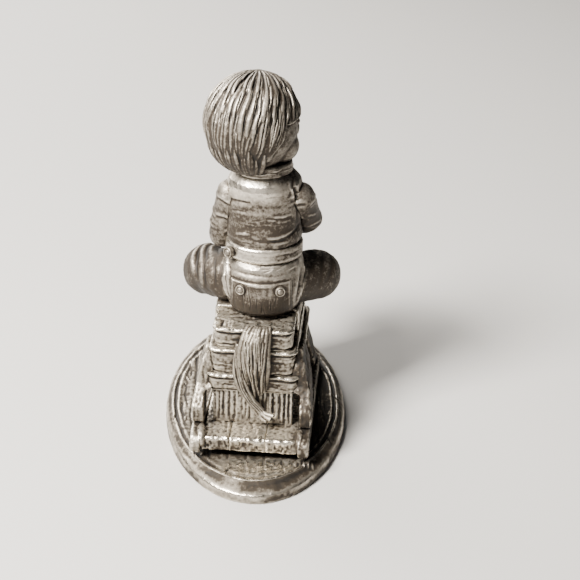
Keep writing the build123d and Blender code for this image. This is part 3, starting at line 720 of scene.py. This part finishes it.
# cheek, muzzle, neck and chest: place, then half sizes
HORSE_FLESH = (
    (1.15, -9.3, 26.6, 1.15, 1.7, 1.5), (1.0, -13.6, 23.2, 1.0, 1.3, 1.1),
    (0.75, -8.5, 21.2, 1.6, 1.7, 3.6), (0.7, -9.4, 17.9, 1.6, 1.3, 2.8),
)
bm = node_copy("horse_head")
for side in (-1, 1):
    for x, y, z, *radii in HORSE_FLESH:
        ball(bm, horse(side * x, y, z), radii)
horse_head = Casting("cast_horse_head", bm, 0.11, 18)
for side, _, view in SIDES:
    horse_head.dimple(horse(side * 2.1, -10.9, 26.7), 0.75, -0.45)
    horse_head.dimple(horse(side * 1.3, -15.1, 23.4), 0.38, -0.55)
    horse_head.draw(view, *HORSE_FACE_LINES, smooth=False)
    scatter(horse_head, view, (-9.5, 15.5), (-6.0, 22.0), 14, 2.2, 0.16, -0.09, upright=True)
horse_head.rough(0.35, 0.04, 101)
horse_head.rough(1.2, 0.06, 102)
horse_head.finish("horse_metal", "horse_head")

# ------ mane, ears, bridle and handle
CREST = [(-5.3, 21.8), (-6.0, 25.6), (-7.2, 29.2), (-9.2, 30.2)]
MANE_WIDTHS = (0.30, 0.42, 0.46, 0.48, 0.45, 0.40, 0.33, 0.22, 0.08)
MANE_DEPTHS = (0.4, 0.4, 0.38, 0.36, 0.34, 0.3, 0.25, 0.2, 0.08)
FORELOCK_WIDTHS = (0.30, 0.38, 0.40, 0.38, 0.34, 0.28, 0.2, 0.08)
FORELOCK_DEPTHS = (0.35, 0.35, 0.33, 0.3, 0.28, 0.22, 0.15, 0.08)
bm = node_copy("mane")
for t in np.linspace(0, 1, 15):
    y, z = [np.interp(t * 3, range(4), [p[j] for p in CREST]) for j in (0, 1)]
    for side in (-1, 1):
        drop = rng.uniform(2.4, 3.4)
        path = [
            (side * 0.2, y + 0.1, z + 0.2), (side * 1.3, y - 0.2, z - 0.2),
            (side * 2.05, y - 1.0, z - drop * 0.5), (side * 2.1, y - 1.9, z - drop),
        ]
        strand(bm, horse_path(path, 8), MANE_WIDTHS, MANE_DEPTHS, ACROSS * side)
for x in (-0.7, -0.25, 0.2, 0.65):
    path = [(x, -8.8, 29.9), (x * 1.3, -10.2, 29.5), (x * 1.5, -11.6, 28.2), (x * 1.2, -12.6, 26.9)]
    strand(bm, horse_path(path, 7), FORELOCK_WIDTHS, FORELOCK_DEPTHS, (0, -0.7, 0.7))
mane = Casting("cast_mane", bm, 0.08, 1)
mane.rough((0.2, 0.2, 0.7), 0.03, 111)
mane.finish("horse_metal", "mane")

bm = node_copy("ears")
for side in (-1, 1):
    ball(bm, horse(side * 1.4, -8.5, 29.4), (0.55, 0.5, 1.5), Matrix.Rotation(side * 0.2, 3, "Y"))
ears = Casting("cast_ears", bm, 0.06, 3)
for side in (-1, 1):
    ears.line(FRONT, [(side * 1.35, 28.6), (side * 1.55, 30.6)], 0.20, -0.28)
ears.finish("horse_metal", "ears")

bridle = Casting("cast_bridle", node_copy("bridle"), 0.07, 2)
bridle.rough(0.3, 0.03, 113)
bridle.finish("horse_metal", "bridle")

bm = node_copy("handle_bar")
for side in (-1, 1):
    ball(bm, horse(side * 5.55, -7.6, 25.8), (0.45, 0.72, 0.72))
handle = Casting("cast_handle", bm, 0.08, 2)
handle.rough(0.4, 0.03, 114)
for x in (-5.0, -2.5, 2.5, 5.0):
    for view in (FRONT, BACK):
        handle.line(view, [(x, 25.0), (x, 26.6)], 0.12, -0.14)
handle.finish("horse_metal", "handle_bar")

# ------ trousers
SEAT_FOLDS = (
    ([(-5.6, 25.9), (-2.5, 25.5), (1.0, 25.4), (3.6, 25.9)], 0.32, 0.05),
    ([(-5.4, 25.1), (-2.5, 24.8), (0.4, 24.9), (3.8, 24.9)], 0.28, -0.07),
    ([(-4.9, 26.3), (-1.0, 25.95), (3.2, 26.4)], 0.24, -0.06),
    ([(5.2, 28.4), (4.9, 26.2), (4.45, 23.6), (3.85, 21.0)], 0.34, 0.42),
    ([(4.3, 28.0), (3.95, 26.0), (3.6, 23.8), (3.3, 21.4)], 0.28, 0.34),
    ([(4.75, 28.0), (4.4, 25.8), (3.95, 23.4), (3.5, 21.0)], 0.16, -0.34),
    ([(-5.9, 26.0), (-5.7, 23.5), (-5.2, 20.6)], 0.30, -0.30),
    ([(-5.3, 25.5), (-5.2, 23.0), (-4.9, 20.0)], 0.32, 0.11),
)
seat = Casting("cast_trousers_seat", node_copy("trousers_seat"), 0.10, 5)
seat.rough((2.2, 2.2, 1.4), 0.05, 121)
seat.draw(BACK, *SEAT_FOLDS)
seat.renew()
for _ in range(12):
    x, z = rng.uniform(-5.2, 4.0), rng.uniform(24.2, 26.2)
    mark = [(x, z), (x + rng.uniform(0.5, 1.4), z + rng.normal(0, 0.12))]
    seat.line(BACK, mark, 0.10, rng.choice([-0.07, 0.06]))
for view in (LEFT, RIGHT):
    scatter(seat, view, (-1.5, 19.5), (4.5, 25.5), 14, 1.6, 0.3, 0.10, upright=True)
scatter(seat, FRONT, (-4.6, 20.0), (3.0, 25.0), 14, 1.6, 0.3, 0.12)
seat.rough(0.35, 0.02, 122)
# the upper back of the seat is lighter: painted highlight
seat.tone_and_painted_light = 0.10 * ramp(seat.z, 24.0, 0.6) * np.clip(seat.co[:, 1], 0, 1)
seat.finish("child_metal", "trousers_seat")

flap = Casting("cast_seat_flap", node_copy("drop_seat_flap"), 0.07, 3)
flap.rough((0.45, 0.45, 2.4), 0.03, 124)
scatter(flap, BACK, (-4.3, 19.6), (2.7, 22.0), 16, 1.6, 0.10, -0.05, upright=True, wander=0.08)
flap.line(BACK, [(-3.0, 23.75), (-1.0, 23.7), (0.8, 23.72)], 0.16, 0.07)
flap.line(BACK, [(-4.5, 19.95), (-0.7, 19.9), (3.1, 19.95)], 0.20, 0.05, taper=False)
for x in (-4.35, 2.95):
    flap.line(BACK, [(x, 23.9), (x, 19.6)], 0.14, 0.06, taper=False)
# the flap is darker, most towards the bottom: painted shade
flap.tone_and_painted_light = -0.05 - 0.12 * ramp(flap.z, 22.6, -1.5)
flap.finish("child_metal", "drop_seat_flap")


def button(bm, centre, way, radius):
    """A domed button with a raised rim, sunk a little into the cloth behind it."""
    turn = Vector(way).to_track_quat("Z", "Y").to_matrix().to_4x4()
    place = Matrix.Translation(centre) @ turn
    bmesh.ops.create_cone(
        bm, cap_ends=True, segments=40, radius1=radius * 1.25, radius2=radius * 1.1, depth=0.5, matrix=place
    )
    bmesh.ops.create_uvsphere(
        bm, u_segments=32, v_segments=16, radius=radius * 0.78,
        matrix=place @ Matrix.Translation((0, 0, 0.16)) @ Matrix.Diagonal((1, 1, 0.75, 1)),
    )
    rim = bmesh.ops.create_circle(
        bm, segments=14, radius=radius * 0.17,
        matrix=place @ Matrix.Translation((radius, 0, 0.27)) @ Matrix.Rotation(math.pi / 2, 4, "X"),
    )
    bmesh.ops.spin(
        bm, geom=rim["verts"] + list({e for v in rim["verts"] for e in v.link_edges}), cent=centre,
        axis=place.to_3x3() @ UP, angle=2 * math.pi, steps=40, use_merge=True,
    )


bm = bmesh.new()
for x in (-3.2, 1.8):
    button(bm, horse(x, 7.15, 23.1), horse(x * 0.14 + 0.1, 1, 0.12) - HORSE_SHIFT, 0.55)
flap_buttons = Casting("cast_flap_buttons", bm, 0.045, 1)
flap_buttons.finish("child_metal", "flap_buttons")

bm = bmesh.new()
button(bm, horse(3.55, 4.9, 27.2), horse(0.62, 0.75, 0.1) - HORSE_SHIFT, 0.62)
brace_button = Casting("cast_brace_button", bm, 0.045, 1)
brace_button.finish("child_metal", "brace_button")

band = Casting("cast_waistband", node_copy("waistband"), 0.09, 3)
band.rough((1.6, 1.6, 0.6), 0.035, 131)
for view in (BACK, FRONT):
    for z, rise, width in ((27.3, -0.04, 0.20), (26.6, 0.05, 0.24)):
        across = np.linspace(-5.8, 4.4, 22)
        band.line(view, np.column_stack([across, z + rng.normal(0, 0.05, 22)]), width, rise, taper=False)
    scatter(band, view, (-5.2, 26.3), (3.6, 27.9), 6, 0.8, 0.12, 0.04)
band.rough(0.3, 0.02, 132)
# the band is lighter towards its left end: painted light from the lamp's side
band.tone_and_painted_light = 0.28 * ramp(band.co[:, 0], -3.0, 2.0)
band.finish("child_metal", "waistband")

# ------ shirt
BACK_FOLDS = (
    ([(3.3, 34.2), (2.2, 34.45), (0.9, 34.55)], 0.20, -0.12),
    ([(3.4, 33.6), (2.2, 33.95), (0.8, 34.1)], 0.38, 0.12),
    ([(3.0, 33.0), (0.6, 33.05), (-1.8, 33.2)], 0.42, 0.07),
    ([(-2.5, 32.7), (-3.4, 32.65), (-4.2, 32.75)], 0.22, 0.11),
    ([(1.4, 31.0), (-0.4, 31.3), (-2.4, 31.2)], 0.75, -0.12),
    ([(2.4, 29.95), (1.7, 30.15), (0.9, 30.25)], 0.24, 0.15),
    ([(-1.6, 29.9), (-2.8, 29.95), (-4.2, 30.25)], 0.26, 0.15),
    ([(-1.9, 29.5), (-2.8, 29.4), (-3.6, 29.5)], 0.22, -0.14),
    ([(-4.0, 29.8), (-4.9, 30.3), (-5.6, 31.2)], 0.24, -0.14),
    ([(4.2, 36.8), (4.1, 34.8), (4.3, 32.6), (4.2, 30.2)], 0.30, -0.20),
    ([(3.6, 36.8), (3.5, 34.8), (3.65, 32.4)], 0.28, 0.12),
    ([(-4.0, 36.9), (-4.4, 35.6), (-4.5, 34.6)], 0.24, 0.16),
    ([(-4.3, 37.0), (-4.95, 34.6), (-5.1, 32.0), (-5.2, 30.0)], 0.26, -0.2),
    ([(-4.9, 36.4), (-5.4, 34.0), (-5.5, 31.6)], 0.29, 0.15),
)
PLACKET_AND_FOLDS = (
    ([(-0.7, 36.6), (-0.75, 33.0), (-0.7, 28.6)], 0.30, 0.20),
    ([(-0.35, 36.6), (-0.35, 33.0), (-0.3, 28.6)], 0.12, -0.22),
    ([(-4.6, 31.2), (-2.4, 30.2), (-1.0, 30.6)], 0.4, 0.22),
    ([(3.4, 31.4), (1.4, 30.1), (0.2, 30.5)], 0.4, 0.22),
    ([(-4.4, 33.6), (-2.8, 32.2), (-1.6, 31.9)], 0.36, 0.2),
    ([(3.2, 33.8), (1.8, 32.2), (0.6, 31.8)], 0.36, 0.2),
)
shirt = Casting("cast_shirt", node_copy("shirt"), 0.10, 10)
shirt.rough((2.6, 2.6, 2.0), 0.10, 141)
blouse = ramp(shirt.z, 30.6, -2.2) * np.clip(shirt.co[:, 2] - 28.2, 0, 1)
shirt.push(0.32 * blouse)
yoke = ramp(shirt.z, 34.0, 1.8) * ramp(shirt.z, 37.4, -1.0)
shirt.push(0.45 * yoke)
shirt.relax(2)
shirt.renew()
shirt.draw(BACK, *BACK_FOLDS)
shirt.renew()
for z in (33.9, 34.9, 36.1):
    shirt.line(BACK, [(-4.0, z), (-4.7, z + 0.25), (-5.4, z)], 0.28, 0.10)
scatter(shirt, BACK, (-4.4, 29.0), (1.8, 36.4), 7, 1.3, 0.14, -0.04)
scatter(shirt, BACK, (-4.4, 29.0), (1.8, 34.4), 6, 1.2, 0.22, 0.05)
shirt.draw(FRONT, *PLACKET_AND_FOLDS)
scatter(shirt, FRONT, (-4.4, 29.0), (2.4, 36.0), 12, 1.4, 0.25, 0.07)
shirt.rough(0.34, 0.02, 142)
# the upper back is lighter towards the left, a painted highlight; the shirt is darker lower down
lightness = ramp(shirt.z, 34.2, 1.2) * ramp(shirt.co[:, 0], -3.4, 1.6)
shirt.tone_and_painted_light = 0.30 * lightness * np.clip(shirt.co[:, 1], 0, 1) - 0.09 * ramp(shirt.z, 33.4, -1.5)
shirt.finish("child_metal", "shirt")

collar = Casting("cast_collar", node_copy("collar"), 0.08, 3)
collar.rough((1.2, 1.2, 0.5), 0.07, 145)
for view in (BACK, FRONT, LEFT, RIGHT):
    scatter(collar, view, (-3.8, 37.7), (3.0, 38.7), 8, 1.2, 0.14, 0.07)
collar.finish("child_metal", "collar")

# ------ sleeves and hands
for side, name, view in SIDES:
    sleeve = Casting(f"cast_sleeve_{name}", node_copy(f"sleeve_{name}"), 0.10, 4)
    sleeve.rough((1.5, 1.5, 2.0), 0.13, 151 + side)
    sleeve.renew()
    arm = (side * 3.0 - 0.7, side * 6.9 - 0.7)
    for where, low, high in ((view, -1.2, 4.2), (BACK, *arm), (FRONT, *arm)):
        for z in (29.3, 31.2, 33.8):
            shift = rng.normal(0, 0.3)
            start = low + (high - low) * rng.uniform(0.0, 0.45)
            span = high - low
            points = [(start, z + shift), (start + span * 0.25, z + 0.3), (start + span * 0.5, z - shift)]
            sleeve.line(where, curve(points, 8), 0.36, 0.13)
            sleeve.line(where, curve([(x, h - 0.42) for x, h in points], 8), 0.28, -0.10)
    for y, top, foot in ((-5.1, 29.4, 26.4), (-4.2, 30.4, 27.6), (-2.9, 29.6, 26.0), (-1.7, 30.6, 27.4)):
        sleeve.line(view, curve([(y, top), (y + 0.4, (top + foot) / 2), (y + 0.1, foot)], 6), 0.28, 0.12)
    wrist = np.linalg.norm(sleeve.co - np.array(horse(side * 4.3, -6.0, 26.2)), axis=1)
    sleeve.push(0.22 * np.exp(-((wrist - 1.15) / 0.35) ** 2))
    sleeve.rough(0.34, 0.02, 154)
    # both sleeves are darker, the right one more: painted shade
    sleeve.tone_and_painted_light -= 0.06 if side > 0 else 0.12
    sleeve.finish("child_metal", f"sleeve_{name}")

    bm = node_copy(f"hand_{name}")
    for k in range(4):
        x = side * (3.15 + 0.52 * k)
        path = [(x, -6.9, 26.7), (x, -7.9, 26.95), (x, -8.75, 26.3), (x, -8.75, 25.3), (x, -8.0, 24.75)]
        strand(bm, horse_path(path, 10), np.linspace(0.32, 0.24, 11), np.linspace(0.34, 0.26, 11), ACROSS)
    path = [(side * 2.9, -6.6, 26.2), (side * 2.75, -6.9, 25.3), (side * 3.1, -7.6, 24.7), (side * 3.6, -8.2, 24.5)]
    strand(bm, horse_path(path, 8), np.linspace(0.42, 0.28, 9), np.linspace(0.42, 0.26, 9), ACROSS)
    ball(bm, horse(side * 3.9, -7.0, 26.0), (1.15, 1.0, 0.9))
    hand = Casting(f"cast_hand_{name}", bm, 0.06, 2)
    hand.finish("child_metal", f"hand_{name}")

# ------ trouser legs and shoes
LEG_FOLDS = (
    ([(6.0, 26.0), (6.6, 24.0), (6.3, 21.0)], 0.50, 0.30), ([(7.2, 25.8), (7.8, 23.4), (7.2, 20.6)], 0.46, 0.30),
    ([(8.3, 25.0), (9.0, 23.0), (8.4, 21.2)], 0.40, 0.26), ([(6.7, 25.4), (7.2, 23.6), (6.9, 21.4)], 0.26, -0.22),
    ([(7.9, 25.2), (8.4, 23.2), (8.0, 21.6)], 0.24, -0.20), ([(5.2, 26.2), (5.7, 24.4), (5.4, 21.6)], 0.30, -0.25),
)
for side, name, view in SIDES:
    leg = Casting(f"cast_trouser_leg_{name}", node_copy(f"trouser_leg_{name}"), 0.11, 6)
    strength = 0.6 if side > 0 else 0.2
    leg.rough((1.2, 1.6, 2.4), 0.20 * strength + 0.04, 161)
    leg.renew()
    for points, width, rise in LEG_FOLDS:
        points = [(x if side > 0 else -x - 1.0, z) for x, z in points]
        rise *= strength
        leg.draw(BACK, (points, width, rise))
        leg.draw(TOP, ([(x, (z - 23.4) * -1.1 - 0.8) for x, z in points], width, rise))
    for y, z in ((-5.4, 20.2), (-4.6, 19.2), (-3.4, 18.5), (-6.2, 21.2), (-2.2, 18.2)):
        ridge = ([(y - 0.9, z + 1.8), (y, z), (y + 1.2, z - 0.4)], 0.34, 0.26)
        groove = ([(y - 0.5, z + 1.6), (y + 0.4, z + 0.1), (y + 1.5, z - 0.1)], 0.20, -0.22)
        leg.draw(view, ridge, groove)
    for y, z in ((-6.4, 19.5), (-5.8, 18.0), (-5.0, 17.0)):
        leg.line(FRONT, curve([(side * 6.0, z), (side * 7.2, z - 0.35), (side * 8.8, z)]), 0.3, 0.22)
    ankle = np.linalg.norm(leg.co - np.array(horse(side * 7.5, -6.0, 16.8)), axis=1)
    leg.push(0.25 * np.exp(-((ankle - 1.5) / 0.3) ** 2))
    leg.rough(0.36, 0.02, 164)
    leg.tone_and_painted_light -= 0.18 if side > 0 else 0.14
    leg.finish("child_metal", f"trouser_leg_{name}")

    bm = node_copy(f"shoe_{name}")
    ball(bm, horse(side * 7.6, -8.3, 15.75), (1.35, 2.2, 0.42))
    ball(bm, horse(side * 7.6, -7.6, 16.4), (1.15, 1.3, 0.95))
    ball(bm, horse(side * 7.6, -9.3, 16.2), (1.2, 1.25, 0.75))
    shoe = Casting(f"cast_shoe_{name}", bm, 0.07, 2)
    for where in (LEFT, RIGHT):
        shoe.line(where, [(-10.8, 15.95), (-8.4, 15.98), (-6.0, 15.95)], 0.12, -0.2, taper=False)
        shoe.line(where, curve([(-9.0, 15.9), (-8.7, 16.6), (-8.6, 17.2)]), 0.10, -0.12)
    for z in (0.0, 0.45, 0.9):
        shoe.line(TOP, [(side * 7.6 - 0.45, -8.8 + z), (side * 7.6 + 0.45, -8.65 + z)], 0.09, 0.12)
    shoe.rough(0.3, 0.02, 167)
    shoe.finish("child_metal", f"shoe_{name}")

# ------ head
bm = node_copy("head")
FACE_TILT = Matrix((FACE_LEFT, FACE_WAY, UP)).transposed()
# cheeks, chin, mouth, nose, nostrils, brows and ears: place, then half sizes
FACE_PARTS = (
    (2.1, 2.9, -2.3, 2.3, 2.1, 2.2), (0, 3.5, -4.3, 1.7, 1.4, 1.1), (0, 3.7, -3.2, 2.3, 1.5, 1.6),
    (0, 5.6, -1.85, 0.60, 0.62, 0.50), (0.5, 5.25, -2.0, 0.36, 0.4, 0.32),
    (1.9, 4.45, 0.75, 1.5, 0.6, 0.45), (5.1, -0.6, -1.6, 0.5, 0.9, 1.35),
)
for across, forward, up, wide, deep, high in FACE_PARTS:
    for side in (1, -1) if across else (1,):
        ball(bm, face(side * across, forward, up), (wide, deep, high), FACE_TILT)
nose = smooth_path([face(0, 5.15, 0.1), face(0, 5.45, -0.8), face(0, 5.85, -1.7)], 6)
strand(bm, nose, np.linspace(0.42, 0.5, 7), np.linspace(0.35, 0.5, 7), FACE_WAY)
head = Casting("cast_head", bm, 0.09, 12)
for side in (-1, 1):
    head.dimple(face(side * 2.0, 5.3, -0.35), 1.15, -0.55)
    head.dimple(face(side * 0.42, 5.75, -2.3), 0.18, -0.2)
head.renew()
for side in (-1, 1):
    head.dimple(face(side * 2.0, 4.75, -0.42), 0.85, 0.42)
    head.renew()
    lid = [(side * 0.95, -0.62), (side * 1.45, -0.12), (side * 2.1, 0.05), (side * 2.75, -0.15), (side * 3.1, -0.5)]
    head.draw(
        FACE,
        (lid, 0.17, 0.20),
        ([(x, z + 0.32) for x, z in lid[1:]], 0.14, -0.14),
        ([(side * 1.0, -0.7), (side * 2.0, -1.05), (side * 3.0, -0.62)], 0.14, 0.12),
        ([(x, z - 0.24) for x, z in lid], 0.09, -0.12),
        ([(side * 1.0, 0.75), (side * 2.0, 1.1), (side * 3.1, 0.75)], 0.20, 0.14),
        ([(side * 0.85, -2.1), (side * 1.35, -2.8), (side * 1.6, -3.3)], 0.3, -0.08),
    )
head.draw(
    FACE,
    ([(-1.25, -3.22), (-0.6, -3.36), (0, -3.30), (0.6, -3.36), (1.25, -3.22)], 0.13, -0.26),
    ([(-0.9, -3.12), (-0.3, -2.98), (0, -3.04), (0.3, -2.98), (0.9, -3.12)], 0.16, 0.14),
    ([(-0.75, -3.62), (0, -3.72), (0.75, -3.62)], 0.22, 0.17),
    ([(-0.6, -4.15), (0, -4.2), (0.6, -4.15)], 0.22, -0.12),
)
head.line(FACE, [(0, -2.4), (0, -2.9)], 0.14, -0.08)
head.rough(0.5, 0.012, 171)
head.tone_and_painted_light -= 0.03
head.finish("child_metal", "head")

# ------ hair
HAIR_RADII = Vector((5.65, 5.75, 5.75))
CROWN = Vector((-0.08, -0.36, 0.93)).normalized()
CROWN_SIDE = CROWN.cross(Vector((0, 1, 0))).normalized()
CROWN_BACK = CROWN_SIDE.cross(CROWN).normalized()
# the hem round the face: how far forward the hair reaches at each height
HEM = [(-7.5, -2.6), (-5.4, -2.0), (-3.0, -0.7), (0.0, 1.9), (1.35, 2.6), (1.45, 12.0)]
NAPE = -5.7
# each layer of locks: how many, where they begin and end, how far out they lie, how thick
LAYERS = ((60, 0.70, 1.0, 0.06, 0.44), (44, 0.07, 0.72, 0.32, 0.46), (30, 0.05, 0.50, 0.60, 0.44))
LOCK_SHAPE = np.array((0.85, 0.95, 1, 1, 1, 1, 1, 1, 0.97, 0.9, 0.75, 0.5, 0.15))
NAPE_SHAPE = np.array((0.3, 0.8, 1.0, 1.0, 0.95, 0.85, 0.7, 0.35))
NAPE_LOCKS = 30
NAPE_END = -1.22


def scalp(turn, drop, lift=0.0):
    """A place on the hair: `turn` round the crown, `drop` down from it, both as angles."""
    level = CROWN_SIDE * math.cos(turn) + CROWN_BACK * math.sin(turn)
    way = CROWN * math.cos(drop) + level * math.sin(drop)
    local = Vector((way.dot(FACE_LEFT), way.dot(FACE_WAY), way.dot(UP)))
    reach = 1 / math.sqrt(sum((local[k] / HAIR_RADII[k]) ** 2 for k in range(3)))
    return HEAD + way * (reach + lift)


def hem_drop(turn):
    """How far down a lock of hair runs before it meets the fringe, the jaw or the nape."""
    for drop in np.arange(0.5, 2.7, 0.03):
        local = scalp(turn, drop) - HEAD
        up = local.dot(UP)
        before_hem = local.dot(FACE_WAY) > np.interp(up, [h for h, _ in HEM], [f for _, f in HEM])
        if before_hem and up < 1.5 or up < NAPE:
            return drop
    return 2.4


def out_of_head(point):
    """The way from the middle of the head to a place."""
    return (point - HEAD).normalized()


bm = node_copy("hair")
for vert in bm.verts:
    way = vert.co - HEAD
    if way.length > 5.9:
        vert.co -= way.normalized() * 0.3
for layer, (count, begin, end, lift, thick) in enumerate(LAYERS):
    for k in range(count):
        turn = (k + rng.uniform(-0.32, 0.32)) / count * 2 * math.pi
        stop = hem_drop(turn) * (end + (rng.uniform(-0.16, 0.14) if layer else rng.uniform(-0.02, 0.06)))
        swirl = 0.16 + rng.normal(0, 0.03)
        drops = np.linspace(begin if layer == 0 else begin + 0.02, max(stop, begin + 0.3), 13)
        drops = np.minimum(drops, hem_drop(turn + swirl) + 0.1)
        path = []
        for j, drop in enumerate(drops):
            place = turn + swirl * (drop - 0.5) + 0.02 * math.sin(drop * 6 + k)
            path.append(scalp(place, drop, lift - 0.10 * (j == 12)))
        spacing = 2 * math.pi * 6.1 / count * np.clip(np.sin(drops), 0.10, 1)
        widths = np.maximum(spacing * 0.60 * LOCK_SHAPE, 0.05)
        strand(bm, path, widths, np.maximum(thick * LOCK_SHAPE, 0.05), out_of_head, sides=8)
ball(bm, scalp(0, 0, 0.42), (1.0, 1.0, 0.55))
for k in range(NAPE_LOCKS):
    start = -1.30 + 2.6 * k / (NAPE_LOCKS - 1) + rng.normal(0, 0.03)
    top = rng.uniform(-0.45, -0.15)
    path = []
    for j in range(8):
        t = j / 7
        round_head = start * (1 - 0.25 * t) - 0.30 * t
        slope = top + (NAPE_END - top) * t
        level = -FACE_WAY * math.cos(round_head) + FACE_LEFT * math.sin(round_head)
        way = level * math.cos(slope) + UP * math.sin(slope)
        path.append(HEAD + way * (6.0 + 0.12 * math.sin(math.pi * t)))
    strand(bm, path, 0.34 * NAPE_SHAPE, 0.36 * NAPE_SHAPE, out_of_head, sides=8)
hair = Casting("cast_hair", bm, 0.085, 1)
for _ in range(260):
    turn = rng.uniform(0, 2 * math.pi)
    begin = rng.uniform(0.15, 1.5)
    middle = scalp(turn, begin + 0.3)
    way = (middle - HEAD).normalized()
    along = (scalp(turn + 0.05, begin + 0.6) - scalp(turn, begin)).normalized()
    patch = View(middle, way.cross(along).normalized(), along, way)
    run = rng.uniform(0.7, 1.8)
    hair.line(patch, [(0, -run), (rng.normal(0, 0.05), 0), (0.0, run)], 0.08, -0.16)
    hair.seen = {}
# the hair is darker lower down: painted shade on faces turned from the light
hair.tone_and_painted_light = -0.07 - 0.10 * ramp(hair.z, HEAD.z - 0.5, -2.5)
hair.finish("child_metal", "hair")

# ------ patina and painted shade where parts close in
# how closed in each place is, darkened partly as patina and partly as painted shade: rays test some points, and the
# rest take it from their neighbours
whole = bmesh.new()
for piece in castings:
    whole.from_mesh(piece.mesh)
shell = BVHTree.FromBMesh(whole)
whole.free()
RAYS = 14
STRIDE = 9
SPREADS = 12
REACH = 3.2 * MM
CLEAR = 0.00012
sky = [Vector(p).normalized() for p in rng.normal(size=(RAYS, 3))]
for piece in castings:
    mesh = piece.mesh
    count = len(mesh.vertices)
    co = piece.co * MM
    known = np.full(count, -1.0)
    for k in range(0, count, STRIDE):
        normal = Vector(piece.normals[k])
        start = Vector(co[k]) + normal * CLEAR
        closed = 0.0
        for ray in sky:
            way = (normal + ray * 0.93).normalized()
            struck = shell.ray_cast(start, way, REACH)
            if struck[0] is not None:
                closed += 1 - struck[3] / REACH * 0.7
        known[k] = closed / RAYS
    tested = known >= 0
    value = np.where(tested, known, 0.0)
    weight = tested.astype(float)
    for _ in range(SPREADS):
        both = piece.around(np.column_stack([value, weight]))
        value = np.where(tested, 0.5 * value + 0.5 * np.where(weight > 0, both[:, 0], value), both[:, 0])
        weight = np.where(tested, 0.5 * weight + 0.5 * both[:, 1], both[:, 1])
    patina_and_painted_shade = np.clip(value / np.maximum(weight, 1e-6), 0, 1)
    # kept for the finish, which darkens closed-in places as patina and painted shade
    mesh.attributes.new("patina_and_painted_shade", "FLOAT", "POINT").data.foreach_set("value", patina_and_painted_shade)

# ------ floor
floor_mesh = bpy.data.meshes.new("floor")
bm = bmesh.new()
bmesh.ops.create_grid(bm, x_segments=1, y_segments=1, size=FLOOR_HALF_SIZE)
bm.to_mesh(floor_mesh)
bm.free()
floor = placed("floor", floor_mesh)
paper = bpy.data.materials.new("paper")
paper.use_nodes = True
paper_look = paper.node_tree.nodes["Principled BSDF"].inputs
paper_look["Base Color"].default_value = PAPER_COLOUR
paper_look["Roughness"].default_value = PAPER_ROUGHNESS
floor_mesh.materials.append(paper)
